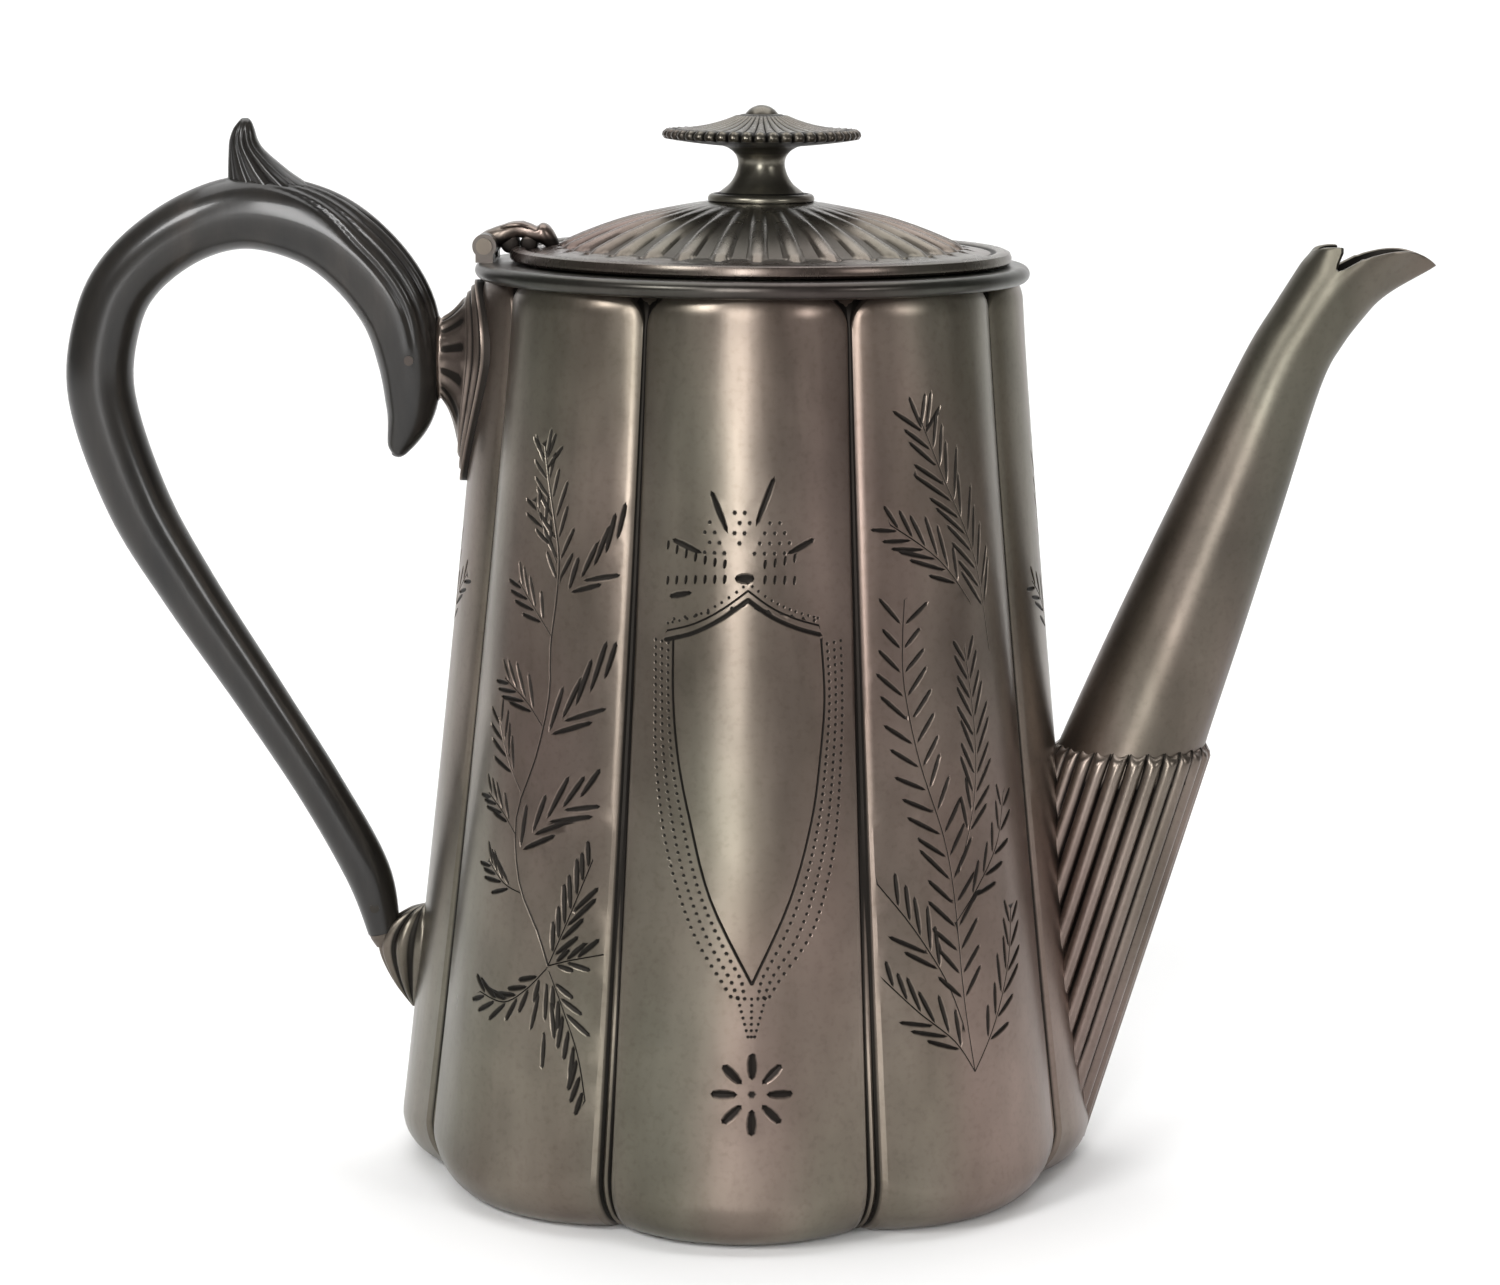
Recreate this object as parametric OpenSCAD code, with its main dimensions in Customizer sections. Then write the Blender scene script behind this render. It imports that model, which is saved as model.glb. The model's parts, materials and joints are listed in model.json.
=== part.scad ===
// Lobed coffee pot with a hinged lid, a straight spout and a carved handle.
// Millimetres. The origin is the centre of the base on the table, +Z is up, and the
// spout points along +X with the handle along -X.

/* [Body] */
// Height of the lobed wall, from the table to the rim moulding
body_h = 166; // [135:1:200]
// Crest radius of the lobes, carried down to the table
foot_r = 66.4; // [58:0.2:80]
// Crest radius of the lobes at the rim moulding
rim_r = 49.8; // [42:0.2:60]
// Number of lobes round the body
lobe_count = 8; // [8:2:10]
// Depth of the grooves between the lobes
groove_depth = 3.6; // [2:0.1:5]
// Thickness of the body's sheet metal
wall = 1.4; // [1:0.1:2]
// Radius of the rounded corner at the foot
foot_round = 8; // [4:0.5:12]
// Radius of the hole in the floor that the base plate closes
base_hole_r = 50; // [35:1:50]
// Width of the lap where the base plate lies on the floor inside
base_lap = 4; // [2:0.5:5]
// Thickness of the base plate's lap
base_lap_t = 1; // [0.6:0.1:2]

/* [Rim] */
// Height of the rim moulding
rim_t = 3; // [2:0.1:5]
// Distance that the rim moulding stands out past the lobes
rim_proud = 1.2; // [0.5:0.1:3]
// Thickness of the seat ring that the lid drops into
seat_t = 1.2; // [0.8:0.1:2]
// Depth of the seat ring below the rim moulding's top
seat_depth = 10; // [7:0.5:15]
// Gap between the seat ring and the body's grooves
seat_gap = 0.3; // [0.2:0.1:1]

/* [Lid] */
// Distance that the lid sits towards the spout, which leaves room for the hinge
lid_shift = 1.5; // [0:0.1:3]
// Gap between the closed lid and the rim moulding
lid_gap = 0.3; // [0.2:0.1:0.5]
// Distance that the lid's flange reaches past the seat ring
lid_overhang = 3.3; // [2:0.1:5]
// Thickness of the lid's flange
flange_t = 1.9; // [1.5:0.1:3]
// Width of the flat brim outside the dome
brim_w = 8.3; // [5:0.1:12]
// Rise of the brim from the flange to the dome
brim_rise = 0.9; // [0.4:0.1:2]
// Rise of the dome above its own edge
dome_rise = 8.8; // [5:0.1:14]
// Thickness of the lid's metal
lid_wall = 1.4; // [1:0.1:2]
// Thickness of the bezel under the lid
bezel_t = 1; // [0.8:0.1:1.5]
// Depth of the bezel below the lid's flange
bezel_depth = 5; // [3:0.1:6]
// Gap between the bezel and the seat ring
bezel_gap = 0.7; // [0.6:0.1:1]

/* [Finial] */
// Radius of the stem's foot on the dome
stem_foot_r = 9.8; // [7:0.1:12]
// Radius of the stem at its waist
stem_waist_r = 4.3; // [3.2:0.1:6]
// Radius of the stem under the cap
stem_top_r = 7.5; // [5:0.1:9]
// Height of the stem
stem_h = 10; // [7:0.5:16]
// Radius of the finial's cap
cap_r = 18.3; // [12:0.1:24]
// Height of the finial's cap
cap_h = 5.8; // [4:0.1:9]
// Radius of the finial's screw
screw_r = 1.5; // [1:0.1:2]
// Clearance round the screw in the pieces that it passes through
screw_clear = 0.1; // [0.05:0.05:0.3]
// Radius of the screw's button head
button_r = 3; // [2.2:0.1:4]
// Height of the screw's button head
button_h = 1.6; // [1:0.1:3]
// Thickness of the washer under the dome
washer_t = 0.8; // [0.5:0.1:1.5]
// Radius of the washer under the dome
washer_r = 5; // [4:0.1:8]
// Width of the nut across its flats
nut_flats = 6.5; // [5.5:0.1:9]
// Thickness of the nut
nut_t = 2.6; // [2:0.1:4]

/* [Hinge] */
// Radius of the hinge's knuckles
knuckle_r = 2.2; // [1.8:0.1:2.8]
// Radius of the hinge's pin
hinge_pin_r = 1; // [0.7:0.05:1.2]
// Running clearance of the lid's knuckle on the pin
hinge_clear = 0.05; // [0.02:0.01:0.1]
// Height of the lid's knuckle above the fixed leaf's plate
hinge_lift = 0.35; // [0.25:0.05:1]
// Width of the lid's knuckle
lid_knuckle_w = 5.6; // [4:0.1:8]
// Width of each fixed knuckle
fixed_knuckle_w = 4.8; // [3:0.1:7]
// Side gap between the knuckles
knuckle_gap = 0.3; // [0.2:0.05:0.5]
// Thickness of the fixed leaf's plate on the rim moulding
leaf_t = 0.45; // [0.3:0.05:0.5]
// Thickness of the arched strap over the hinge
strap_t = 2; // [1.2:0.1:2.4]

/* [Spout] */
// Height of the joint between the reeded base and the spout's tube
joint_z = 79.5; // [65:0.5:95]
// Outside radius of the reeded base
spout_base_r = 14.6; // [12:0.1:18]
// Thickness of the reeded base's wall
spout_base_t = 2.4; // [1.6:0.1:3]
// Lean of the reeded base from the vertical
spout_lean = 16.5; // [12:0.5:20]
// Thickness of the spout tube's wall
spout_wall = 1.3; // [0.8:0.1:2]
// Height of the spout's back lip above the body's wall
spout_over = 6.7; // [2:0.1:12]
// Radius of each strainer hole through the body behind the spout
strainer_r = 1.8; // [1:0.1:2.2]
// Distance between neighbouring strainer holes
strainer_pitch = 6; // [5.5:0.1:8]
// Number of rows of strainer holes
strainer_rows = 7; // [3:1:8]
// Distance of the top row of holes below the joint
strainer_drop = 8.5; // [6:0.5:12]

/* [Handle] */
// Height of the handle's lower end above the table
handle_low_z = 41.6; // [35:0.2:50]
// Depth of the upper socket's middle below the body's top
handle_top_drop = 15.2; // [12:0.2:20]
// Reach of the flat seat where the upper socket meets the wood
seat_reach = 6.8; // [6:0.1:9]
// Height of the upper socket's neck
neck_h = 15; // [11:0.5:17]
// Width of the upper socket's neck
neck_w = 8; // [6.5:0.1:10]
// Height of the upper socket's leaf on the body
socket_leaf_h = 38; // [30:0.5:42]
// Width of the upper socket's leaf
socket_leaf_w = 26; // [18:0.5:28]
// Thickness of the upper socket's leaf
socket_leaf_t = 0.9; // [0.6:0.1:1.5]
// Radius of the tang on the upper socket
upper_tang_r = 3; // [2:0.1:3.2]
// Length of the tang on the upper socket
upper_tang_len = 8; // [6:0.5:9]
// Radius of the tang on the lower socket
lower_tang_r = 1.8; // [1.5:0.1:2]
// Length of the tang on the lower socket
lower_tang_len = 9; // [6:0.5:12]
// Radius of the cross pins that hold the tangs
pin_r = 0.9; // [0.6:0.1:1]
// Half width of the handle, side to side, at its thickest
handle_half_w = 6.4; // [5:0.1:8]

/* [Hidden] */
$fn = 96;
past = 1; // how far a cut runs past the face that it opens
plate_t = 0.2; // thickness of the outlines that a casting is drawn between

metal = "#857a70";
dark_metal = "#6b625a";
wood = "#2c2927";

// The lobes: each is a leaning round cone, and the line of its crest is straight.
half_lobe = 180 / lobe_count;
crest_lean = atan((foot_r - rim_r) / body_h);
function crest_r(z) = foot_r - (foot_r - rim_r) * z / body_h;
function lobe_bulge(r) = r - (r - groove_depth) * cos(half_lobe);
function lobe_r(r) = (pow(lobe_bulge(r), 2) + pow((r - groove_depth) * sin(half_lobe), 2))
    / (2 * lobe_bulge(r));
foot_lobe_x = foot_r - lobe_r(foot_r);
rim_lobe_x = rim_r - lobe_r(rim_r);
lobe_lean = atan((foot_lobe_x - rim_lobe_x) / body_h);
lobe_len = body_h / cos(lobe_lean);
lobe_taper = (lobe_r(foot_r) - lobe_r(rim_r)) / lobe_len;
lobe_slant = cos(crest_lean) / cos(crest_lean - lobe_lean);
lobe_past = 12; // how far each cone runs past the foot and the rim
core_share = 0.6; // share of the crest radius that the core inside the lobes fills
inner_groove_r = rim_lobe_x * cos(half_lobe)
    + sqrt(pow(lobe_r(rim_r) - wall, 2) - pow(rim_lobe_x * sin(half_lobe), 2));

// The rim, the seat and the lid.
rim_outer_r = rim_r + rim_proud;
rim_top = body_h + rim_t;
seat_outer_r = inner_groove_r - lid_shift - seat_gap;
seat_inner_r = seat_outer_r - seat_t;
bezel_r = seat_inner_r - bezel_gap;
flange_r = seat_outer_r + lid_overhang;
flange_z = rim_top + lid_gap;
dome_r = flange_r - brim_w;
dome_z = flange_z + flange_t + brim_rise;
sphere_r = (dome_r * dome_r + dome_rise * dome_rise) / (2 * dome_rise);
function dome_h(r) = dome_z + dome_rise - sphere_r + sqrt(sphere_r * sphere_r - r * r);
lid_top = dome_h(stem_foot_r);
hole_r = screw_r + screw_clear;
cap_z = lid_top + stem_h;
button_z = cap_z + cap_h;
nut_z = lid_top - lid_wall - washer_t - nut_t;
edge_round = 0.7; // roundness of the flange's upper edge
dome_steps = 12;

// The hinge.
hinge_x = -(rim_outer_r - knuckle_r);
hinge_z = rim_top + leaf_t + hinge_lift + knuckle_r;
barrel_half = lid_knuckle_w / 2 + knuckle_gap + fixed_knuckle_w;
pin_head_t = 0.5;
strap_end_x = lid_shift - dome_r; // where the strap lands at the dome's edge
strap_land = dome_z - 2 - hinge_z; // its end runs down to the lid's flange and is cut there
// Share of the way from the axis to the landing, and height above the axis
strap_rise = 4.4;
strap_top = [
    [-0.07, 1.8], [0.1, 3], [0.3, 4.1], [0.55, strap_rise], [0.7, 3.6], [0.8, 4.1], [0.95, 2.8],
    [1.04, strap_land]
];
strap_under = [
    [0.84, strap_land], [0.72, 1.5], [0.5, strap_rise - strap_t], [0.3, 4.1 - strap_t], [0.1, 0.8],
    [0, 0]
];
// The scrolls under the strap: share of the way, height above the axis, radius
scrolls = [[0.40, 0.9, 1.5], [0.66, 0.9, 1.2]];

// The spout's tube: rings from the joint up to the mouth. Each has its inner point and
// its outer point, measured from the middle of the joint, and its half width.
spout_rise = body_h + spout_over - joint_z;
rise_unit = spout_rise / 93.2; // the rings are drawn for a rise of 93.2
drawn_base_r = 14.6; // the rings are drawn for a reeded base of this radius
girth = spout_base_r / drawn_base_r;
joint_x = crest_r(joint_z) + spout_base_r - wall;
spout_rings = [
    [[-14, 0], [14, 0], 13],
    [[-3, 24.5], [20.5, 22.4], 11.1],
    [[8, 49], [27, 45], 9.2],
    [[19, 73], [33.4, 67.5], 7.4],
    [[24.6, 82.8], [37.3, 75.5], 7.2],
    [[28.9, 89.9], [42, 81.8], 7]
];
mouth_back = 33.2;
mouth_tip = 54;
mouth_half_w = 6.4;
// Height of the mouth's edge, against the share of the way from its back to its tip
mouth_edge = [[0, 93.2], [0.1, 91], [0.18, 86.5], [0.3, 89.5], [0.5, 92.6], [0.7, 92.4], [1, 90]];
ring_sides = 24;

// The reeded base runs down from the joint with its outer side in line with the tube's.
base_top_x = joint_x + 0.4; // the base stands slightly proud on its outer side
base_run = 1.4 * joint_z; // longer than the way down into the body

// The handle: height above its lower end, reach out from the crest line, half thickness.
handle_span = 109.2; // the distance between the two sockets that the points are drawn for
handle_points = [
    [0, 6.8, 3.1], [11.5, 11, 4.3], [27.5, 21.3, 4.4], [45.5, 34.5, 4.7], [65, 49.2, 5.3],
    [82, 60.5, 5.9], [101.5, 68.8, 6.2], [115.7, 68.8, 6.1], [125, 64.5, 6], [132.6, 55.2, 6.2],
    [135.8, 44.3, 6.8], [133.4, 32, 7.3], [127.2, 22.5, 7.4], [118.4, 15.2, 7.1],
    [108.5, 11.9, 6], [99.5, 11, 4.6], [90.7, 13.4, 0.9]
];
thumb_points = [
    [134, 47.5], [147.2, 48.9], [150.2, 48.6], [153, 46.5], [152, 44.8], [149, 44], [147, 42.2],
    [143.5, 37.5], [139.5, 30], [134, 34]
];
thumb_w = 7;
handle_sides = 16;
steps_per_span = 3;

handle_top_z = body_h - handle_top_drop;
function handle_z(h) = handle_low_z + h * (handle_top_z - handle_low_z) / handle_span;
function handle_at(h, reach) = [-crest_r(handle_z(h)) - reach, handle_z(h)];
low_end = handle_at(handle_points[0][0], handle_points[0][1]);
low_next = handle_at(handle_points[1][0], handle_points[1][1]);
low_tilt = atan2(low_end[0] - low_next[0], low_next[1] - low_end[1]);
upper_seat_x = -crest_r(handle_top_z) - seat_reach;
upper_pin_x = upper_seat_x - upper_tang_len * 0.6;
lower_pin_up = lower_tang_len * 0.6;
pin_len = 2 * handle_half_w;
trim_r = 20; // size of the cuts that part the wood from the lower socket
lower_pin_len = 2 * handle_points[1][2] - 1;

// Smooth curve through four neighbouring values, t from 0 to 1 between b and c.
function smooth(a, b, c, d, t) =
    b + (c - a) * t / 2 + (2 * a - 5 * b + 4 * c - d) * t * t / 2
    + (3 * b - a - 3 * c + d) * t * t * t / 2;
function clamped(list, i) = list[max(0, min(len(list) - 1, i))];
function curve(list) = concat(
    [for (i = [0 : len(list) - 2], s = [0 : steps_per_span - 1])
        smooth(clamped(list, i - 1), list[i], list[i + 1], clamped(list, i + 2), s / steps_per_span)],
    [list[len(list) - 1]]);

// Skin over rings of equal length, closed at both ends or round on itself.
function band(n, i, j) = [for (k = [0 : n - 1])
    [i * n + k, i * n + (k + 1) % n, j * n + (k + 1) % n, j * n + k]];
module skin(rings, ring_on_ring) {
    n = len(rings[0]);
    m = len(rings);
    points = [for (ring = rings, p = ring) p];
    sides = [for (i = [0 : m - 2], f = band(n, i, i + 1)) f];
    ends = ring_on_ring
        ? band(n, m - 1, 0)
        : [[for (k = [n - 1 : -1 : 0]) k], [for (k = [0 : n - 1]) (m - 1) * n + k]];
    polyhedron(points, concat(sides, ends));
}

// One lobe of the body, thinner by inset, running past the foot and the rim.
module lobe(inset) {
    foot = lobe_r(foot_r) * lobe_slant - inset;
    translate([foot_lobe_x, 0, 0])
        rotate([0, -lobe_lean, 0])
            translate([0, 0, -lobe_past])
                cylinder(h = lobe_len + 2 * lobe_past, r1 = foot + lobe_taper * lobe_past,
                    r2 = foot - lobe_taper * (lobe_len + lobe_past));
}

module lobes(inset) {
    for (i = [0 : lobe_count - 1])
        rotate(i * 360 / lobe_count)
            lobe(inset);
    translate([0, 0, -lobe_past])
        cylinder(h = body_h + 2 * lobe_past, r1 = foot_r * core_share, r2 = rim_r * core_share);
}

// Upright limits of the body with the foot's rounded corner, smaller by inset.
module foot_limit(inset, top) {
    corner = foot_round - inset;
    corner_r = crest_r(foot_round) - foot_round;
    rotate_extrude() {
        translate([0, inset])
            square([corner_r, foot_round]);
        intersection() {
            translate([corner_r, foot_round])
                circle(corner);
            square([foot_r, foot_round]);
        }
        translate([0, foot_round])
            square([foot_r, top - foot_round]);
    }
}

module body_shell() {
    color(metal)
        difference() {
            intersection() {
                lobes(0);
                foot_limit(0, body_h);
            }
            intersection() {
                lobes(wall);
                foot_limit(wall, body_h + past);
            }
            translate([0, 0, -past])
                cylinder(h = wall + 2 * past, r = base_hole_r);
            strainer_holes();
        }
}

// Staggered rows of holes through the lobe behind the spout.
module strainer_holes() {
    cut = 6 * wall; // long enough to pass through the curved wall
    for (row = [0 : strainer_rows - 1]) {
        across = row % 2 == 0 ? [-1, 0, 1] : [-0.5, 0.5];
        for (k = across) {
            z = joint_z - strainer_drop - row * strainer_pitch;
            translate([crest_r(z) - cut + past, k * strainer_pitch, z])
                rotate([0, 90, 0])
                    cylinder(h = cut, r = strainer_r, $fn = 24);
        }
    }
}

module base_plate() {
    color(dark_metal) {
        cylinder(h = wall, r = base_hole_r);
        translate([0, 0, wall])
            cylinder(h = base_lap_t, r = base_hole_r + base_lap);
    }
}

module rim_moulding() {
    color(dark_metal)
        difference() {
            translate([0, 0, body_h])
                rotate_extrude() {
                    square([rim_outer_r - rim_t / 2, rim_t]);
                    translate([rim_outer_r - rim_t / 2, rim_t / 2])
                        circle(rim_t / 2, $fn = 32);
                }
            translate([lid_shift, 0, body_h - past])
                cylinder(h = rim_t + 2 * past, r = seat_outer_r);
        }
}

module lid_seat_ring() {
    color(dark_metal)
        translate([lid_shift, 0, rim_top - seat_depth])
            difference() {
                cylinder(h = seat_depth, r = seat_outer_r);
                translate([0, 0, -past])
                    cylinder(h = seat_depth + 2 * past, r = seat_inner_r);
            }
}

// The leaning round bar that the reeded base is cut from.
module base_bar(r, longer) {
    translate([base_top_x, 0, joint_z])
        rotate([0, spout_lean, 0])
            translate([0, 0, -base_run - longer])
                cylinder(h = base_run + spout_base_r + 2 * longer, r = r);
}

module spout_base() {
    color(metal)
        difference() {
            intersection() {
                base_bar(spout_base_r, 0);
                translate([foot_lobe_x, -spout_base_r - past, 0])
                    cube([2 * foot_r, 2 * spout_base_r + 2 * past, joint_z]);
            }
            base_bar(spout_base_r - spout_base_t, past);
            lobe(0);
        }
}

// A ring between an inner and an outer point, with its wall taken off by inset.
function spout_ring(inner, outer, half_w, inset) =
    let (middle = (inner + outer) / 2, half = (outer - inner) / 2 * girth,
        size = norm(half), share = (size - inset) / size)
    [for (k = [0 : ring_sides - 1])
        let (a = k * 360 / ring_sides, p = middle - half * cos(a) * share)
        [joint_x + p[0], (half_w * girth - inset) * sin(a), joint_z + p[1] * rise_unit]];
function mouth_ring(inset) =
    [for (k = [0 : ring_sides - 1])
        let (a = k * 360 / ring_sides, share = (1 - cos(a)) / 2,
            x = (mouth_back + mouth_tip) / 2 - cos(a) * ((mouth_tip - mouth_back) / 2 * girth - inset))
        [joint_x + x, (mouth_half_w * girth - inset) * sin(a),
            joint_z + lookup(share, mouth_edge) * rise_unit]];
function spout_skin(inset) = concat(
    [for (r = spout_rings) spout_ring(r[0], r[1], r[2], inset)], [mouth_ring(inset)]);
function reversed(list) = [for (i = [len(list) - 1 : -1 : 0]) list[i]];

module spout_tube() {
    color(metal)
        difference() {
            skin(concat(spout_skin(0), reversed(spout_skin(spout_wall))), true);
            lobe(0);
        }
}

// Thin upright oval, its flat faces square to X.
module oval_plate(x, z, w, h) {
    translate([x, 0, z])
        rotate([0, 90, 0])
            linear_extrude(plate_t)
                polygon([for (k = [0 : 31]) [-h / 2 * sin(k * 11.25), w / 2 * cos(k * 11.25)]]);
}

// Upright leaf outline, round at the top and pointed at the bottom, drawn t thick along X.
module leaf_plate(x, top_z, w, h, t) {
    n = 16;
    half = [for (i = [0 : n]) let (s = i / n) [s * h, w / 2 * pow(sin(180 * pow(s, 0.8)), 0.8)]];
    translate([x, 0, top_z])
        rotate([0, 90, 0])
            linear_extrude(t)
                polygon(concat(half, [for (i = [n - 1 : -1 : 1]) [half[i][0], -half[i][1]]]));
}

module handle_socket_upper() {
    crest_x = -crest_r(handle_top_z);
    middle_x = crest_x - 0.45 * seat_reach;
    middle_w = 1.3 * neck_w;
    middle_h = 1.25 * neck_h;
    leaf_top = body_h - 0.3;
    margin = 2; // how far the swelling stays inside the leaf's outline
    bury = 4; // how far the swelling and the leaf start on either side of the crest
    leaf_run = 16;
    color(metal)
        difference() {
            union() {
                hull() {
                    oval_plate(upper_seat_x, handle_top_z, neck_w, neck_h);
                    oval_plate(middle_x, handle_top_z, middle_w, middle_h);
                }
                hull() {
                    oval_plate(middle_x, handle_top_z, middle_w, middle_h);
                    leaf_plate(crest_x, leaf_top - 0.75 * margin, socket_leaf_w - 2 * margin,
                        socket_leaf_h - 2 * margin, plate_t);
                    leaf_plate(crest_x + bury, leaf_top - 0.75 * margin, socket_leaf_w - 2 * margin,
                        socket_leaf_h - 2 * margin, plate_t);
                }
                intersection() {
                    leaf_plate(crest_x - bury, leaf_top, socket_leaf_w, socket_leaf_h, leaf_run);
                    rotate(180)
                        lobe(-socket_leaf_t);
                }
                translate([upper_seat_x - upper_tang_len, 0, handle_top_z])
                    rotate([0, 90, 0])
                        cylinder(h = upper_tang_len + 2, r = upper_tang_r);
            }
            rotate(180)
                lobe(0);
            cylinder(h = 3 * body_h, r = rim_lobe_x, center = true);
            pin_hole(upper_pin_x, handle_top_z);
        }
}

// Hole along Y for a cross pin.
module pin_hole(x, z) {
    translate([x, 0, z])
        rotate([90, 0, 0])
            cylinder(h = pin_len + 2 * past, r = pin_r, center = true, $fn = 32);
}

module cross_pin(x, z, len) {
    translate([x, 0, z])
        rotate([90, 0, 0])
            cylinder(h = len, r = pin_r, center = true, $fn = 32);
}

// Places its children at the handle's lower end, with +Z along the wood.
module at_low_end() {
    translate([low_end[0], 0, low_end[1]])
        rotate([0, -low_tilt, 0])
            children();
}

module handle_socket_lower() {
    drop = [[-16, 0.5, 2.6], [-7, 1.2, 4.8], [2.5, -0.5, 3.4]];
    neck_len = 7;
    neck_r = 2.9;
    neck_foot_r = 4.2;
    color(metal)
        difference() {
            union() {
                hull()
                    for (d = drop)
                        translate([-crest_r(handle_low_z + d[0]) - d[1], 0, handle_low_z + d[0]])
                            sphere(d[2], $fn = 32);
                at_low_end()
                    translate([0, 0, -neck_len])
                        cylinder(h = neck_len, r1 = neck_foot_r, r2 = neck_r);
                at_low_end()
                    translate([0, 0, -past])
                        cylinder(h = lower_tang_len + past, r = lower_tang_r);
            }
            rotate(180)
                lobe(0);
            low_pin_hole();
            low_trim();
        }
}

module low_pin_hole() {
    at_low_end()
        pin_hole(0, lower_pin_up);
}

// The space above the socket's top that the wood fills round the tang.
module low_trim() {
    at_low_end()
        difference() {
            cylinder(h = 3 * lower_tang_len, r = trim_r);
            translate([0, 0, -past])
                cylinder(h = lower_tang_len + past, r = lower_tang_r);
        }
}

function side_w(half) = min(half, handle_half_w);
function handle_ring(before, at, after) =
    let (p = handle_at(at[0], at[1]),
        way = handle_at(after[0], after[1]) - handle_at(before[0], before[1]),
        out = [-way[1], way[0]] / norm(way))
    [for (k = [0 : handle_sides - 1])
        let (a = k * 360 / handle_sides, q = p + out * at[2] * cos(a))
        [q[0], side_w(at[2]) * sin(a), q[1]]];

module handle_bar() {
    path = curve(handle_points);
    skin([for (i = [0 : len(path) - 1])
        handle_ring(clamped(path, i - 1), path[i], clamped(path, i + 1))], false);
}

module handle() {
    color(wood)
        difference() {
            union() {
                handle_bar();
                rotate([90, 0, 0])
                    linear_extrude(thumb_w, center = true)
                        polygon([for (p = thumb_points) handle_at(p[0], p[1])]);
            }
            translate([upper_seat_x, -neck_w, handle_top_z - neck_h / 2 - 1])
                cube([neck_w, 2 * neck_w, neck_h + 2]);
            translate([upper_seat_x - upper_tang_len, 0, handle_top_z])
                rotate([0, 90, 0])
                    cylinder(h = upper_tang_len + past, r = upper_tang_r);
            pin_hole(upper_pin_x, handle_top_z);
            at_low_end()
                translate([0, 0, -past])
                    cylinder(h = lower_tang_len + past, r = lower_tang_r);
            low_pin_hole();
            at_low_end()
                translate([0, 0, -trim_r])
                    cylinder(h = trim_r, r = trim_r);
        }
}

module handle_pin_upper() {
    color(dark_metal)
        cross_pin(upper_pin_x, handle_top_z, pin_len);
}

module handle_pin_lower() {
    color(dark_metal)
        at_low_end()
            cross_pin(0, lower_pin_up, lower_pin_len);
}

// A length of barrel along Y, from y to y + w.
module barrel(y, w, r) {
    translate([hinge_x, y + w, hinge_z])
        rotate([90, 0, 0])
            cylinder(h = w, r = r, $fn = 48);
}

module hinge_body_leaf() {
    web_w = 1.6;
    color(dark_metal)
        difference() {
            union() {
                for (side = [-1, 1]) {
                    y = side > 0 ? barrel_half - fixed_knuckle_w : -barrel_half;
                    barrel(y, fixed_knuckle_w, knuckle_r);
                    translate([hinge_x - web_w, y, rim_top])
                        cube([2 * web_w, fixed_knuckle_w, hinge_z - rim_top]);
                }
                translate([hinge_x - web_w, -barrel_half, rim_top])
                    cube([2 * web_w, 2 * barrel_half, leaf_t]);
            }
            barrel(-barrel_half - past, 2 * (barrel_half + past), hinge_pin_r);
        }
}

module hinge_pin() {
    color(dark_metal) {
        barrel(-barrel_half, 2 * barrel_half, hinge_pin_r);
        barrel(-barrel_half - pin_head_t, pin_head_t, hinge_pin_r * 1.5);
        barrel(barrel_half, pin_head_t, hinge_pin_r * 1.5);
    }
}

// Arched strap from the knuckle over to the dome's edge, with a dip before its end.
module hinge_strap() {
    run = strap_end_x - hinge_x;
    rotate([90, 0, 0])
        linear_extrude(lid_knuckle_w, center = true)
            polygon([for (p = concat(strap_top, strap_under)) [hinge_x + p[0] * run, hinge_z + p[1]]]);
    for (s = scrolls)
        translate([hinge_x + s[0] * run, 0, hinge_z + s[1]])
            rotate([90, 0, 0])
                cylinder(h = lid_knuckle_w, r = s[2], center = true, $fn = 32);
}

module hinge_lid_leaf() {
    color(dark_metal)
        difference() {
            union() {
                barrel(-lid_knuckle_w / 2, lid_knuckle_w, knuckle_r);
                hinge_strap();
            }
            barrel(-barrel_half, 2 * barrel_half, hinge_pin_r + hinge_clear);
            translate([lid_shift, 0, 0])
                lid_envelope();
        }
}

// The lid's outer shape as one solid, without its hollow.
lid_outline = concat(
    [[flange_r, flange_z], [flange_r, flange_z + flange_t - edge_round],
        [flange_r - edge_round, flange_z + flange_t]],
    [for (i = [0 : dome_steps])
        let (r = dome_r + (stem_foot_r - dome_r) * i / dome_steps) [r, dome_h(r)]]);
module lid_envelope() {
    rotate_extrude()
        polygon(concat([[0, flange_z]], lid_outline, [[0, lid_top]]));
}

module lid_dome() {
    hollow = concat(
        [[bezel_r - bezel_t, flange_z - past], [bezel_r - bezel_t, flange_z + flange_t - lid_wall]],
        [for (i = [0 : dome_steps])
            let (r = dome_r + (stem_foot_r - dome_r) * i / dome_steps) [r, dome_h(r) - lid_wall]]);
    color(metal)
        translate([lid_shift, 0, 0])
            difference() {
                lid_envelope();
                rotate_extrude()
                    polygon(concat([[0, flange_z - past]], hollow, [[0, lid_top - lid_wall]]));
                cylinder(h = lid_top + past, r = hole_r);
            }
}

module lid_bezel() {
    color(dark_metal)
        translate([lid_shift, 0, flange_z - bezel_depth])
            difference() {
                cylinder(h = bezel_depth, r = bezel_r);
                translate([0, 0, -past])
                    cylinder(h = bezel_depth + 2 * past, r = bezel_r - bezel_t);
            }
}

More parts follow.
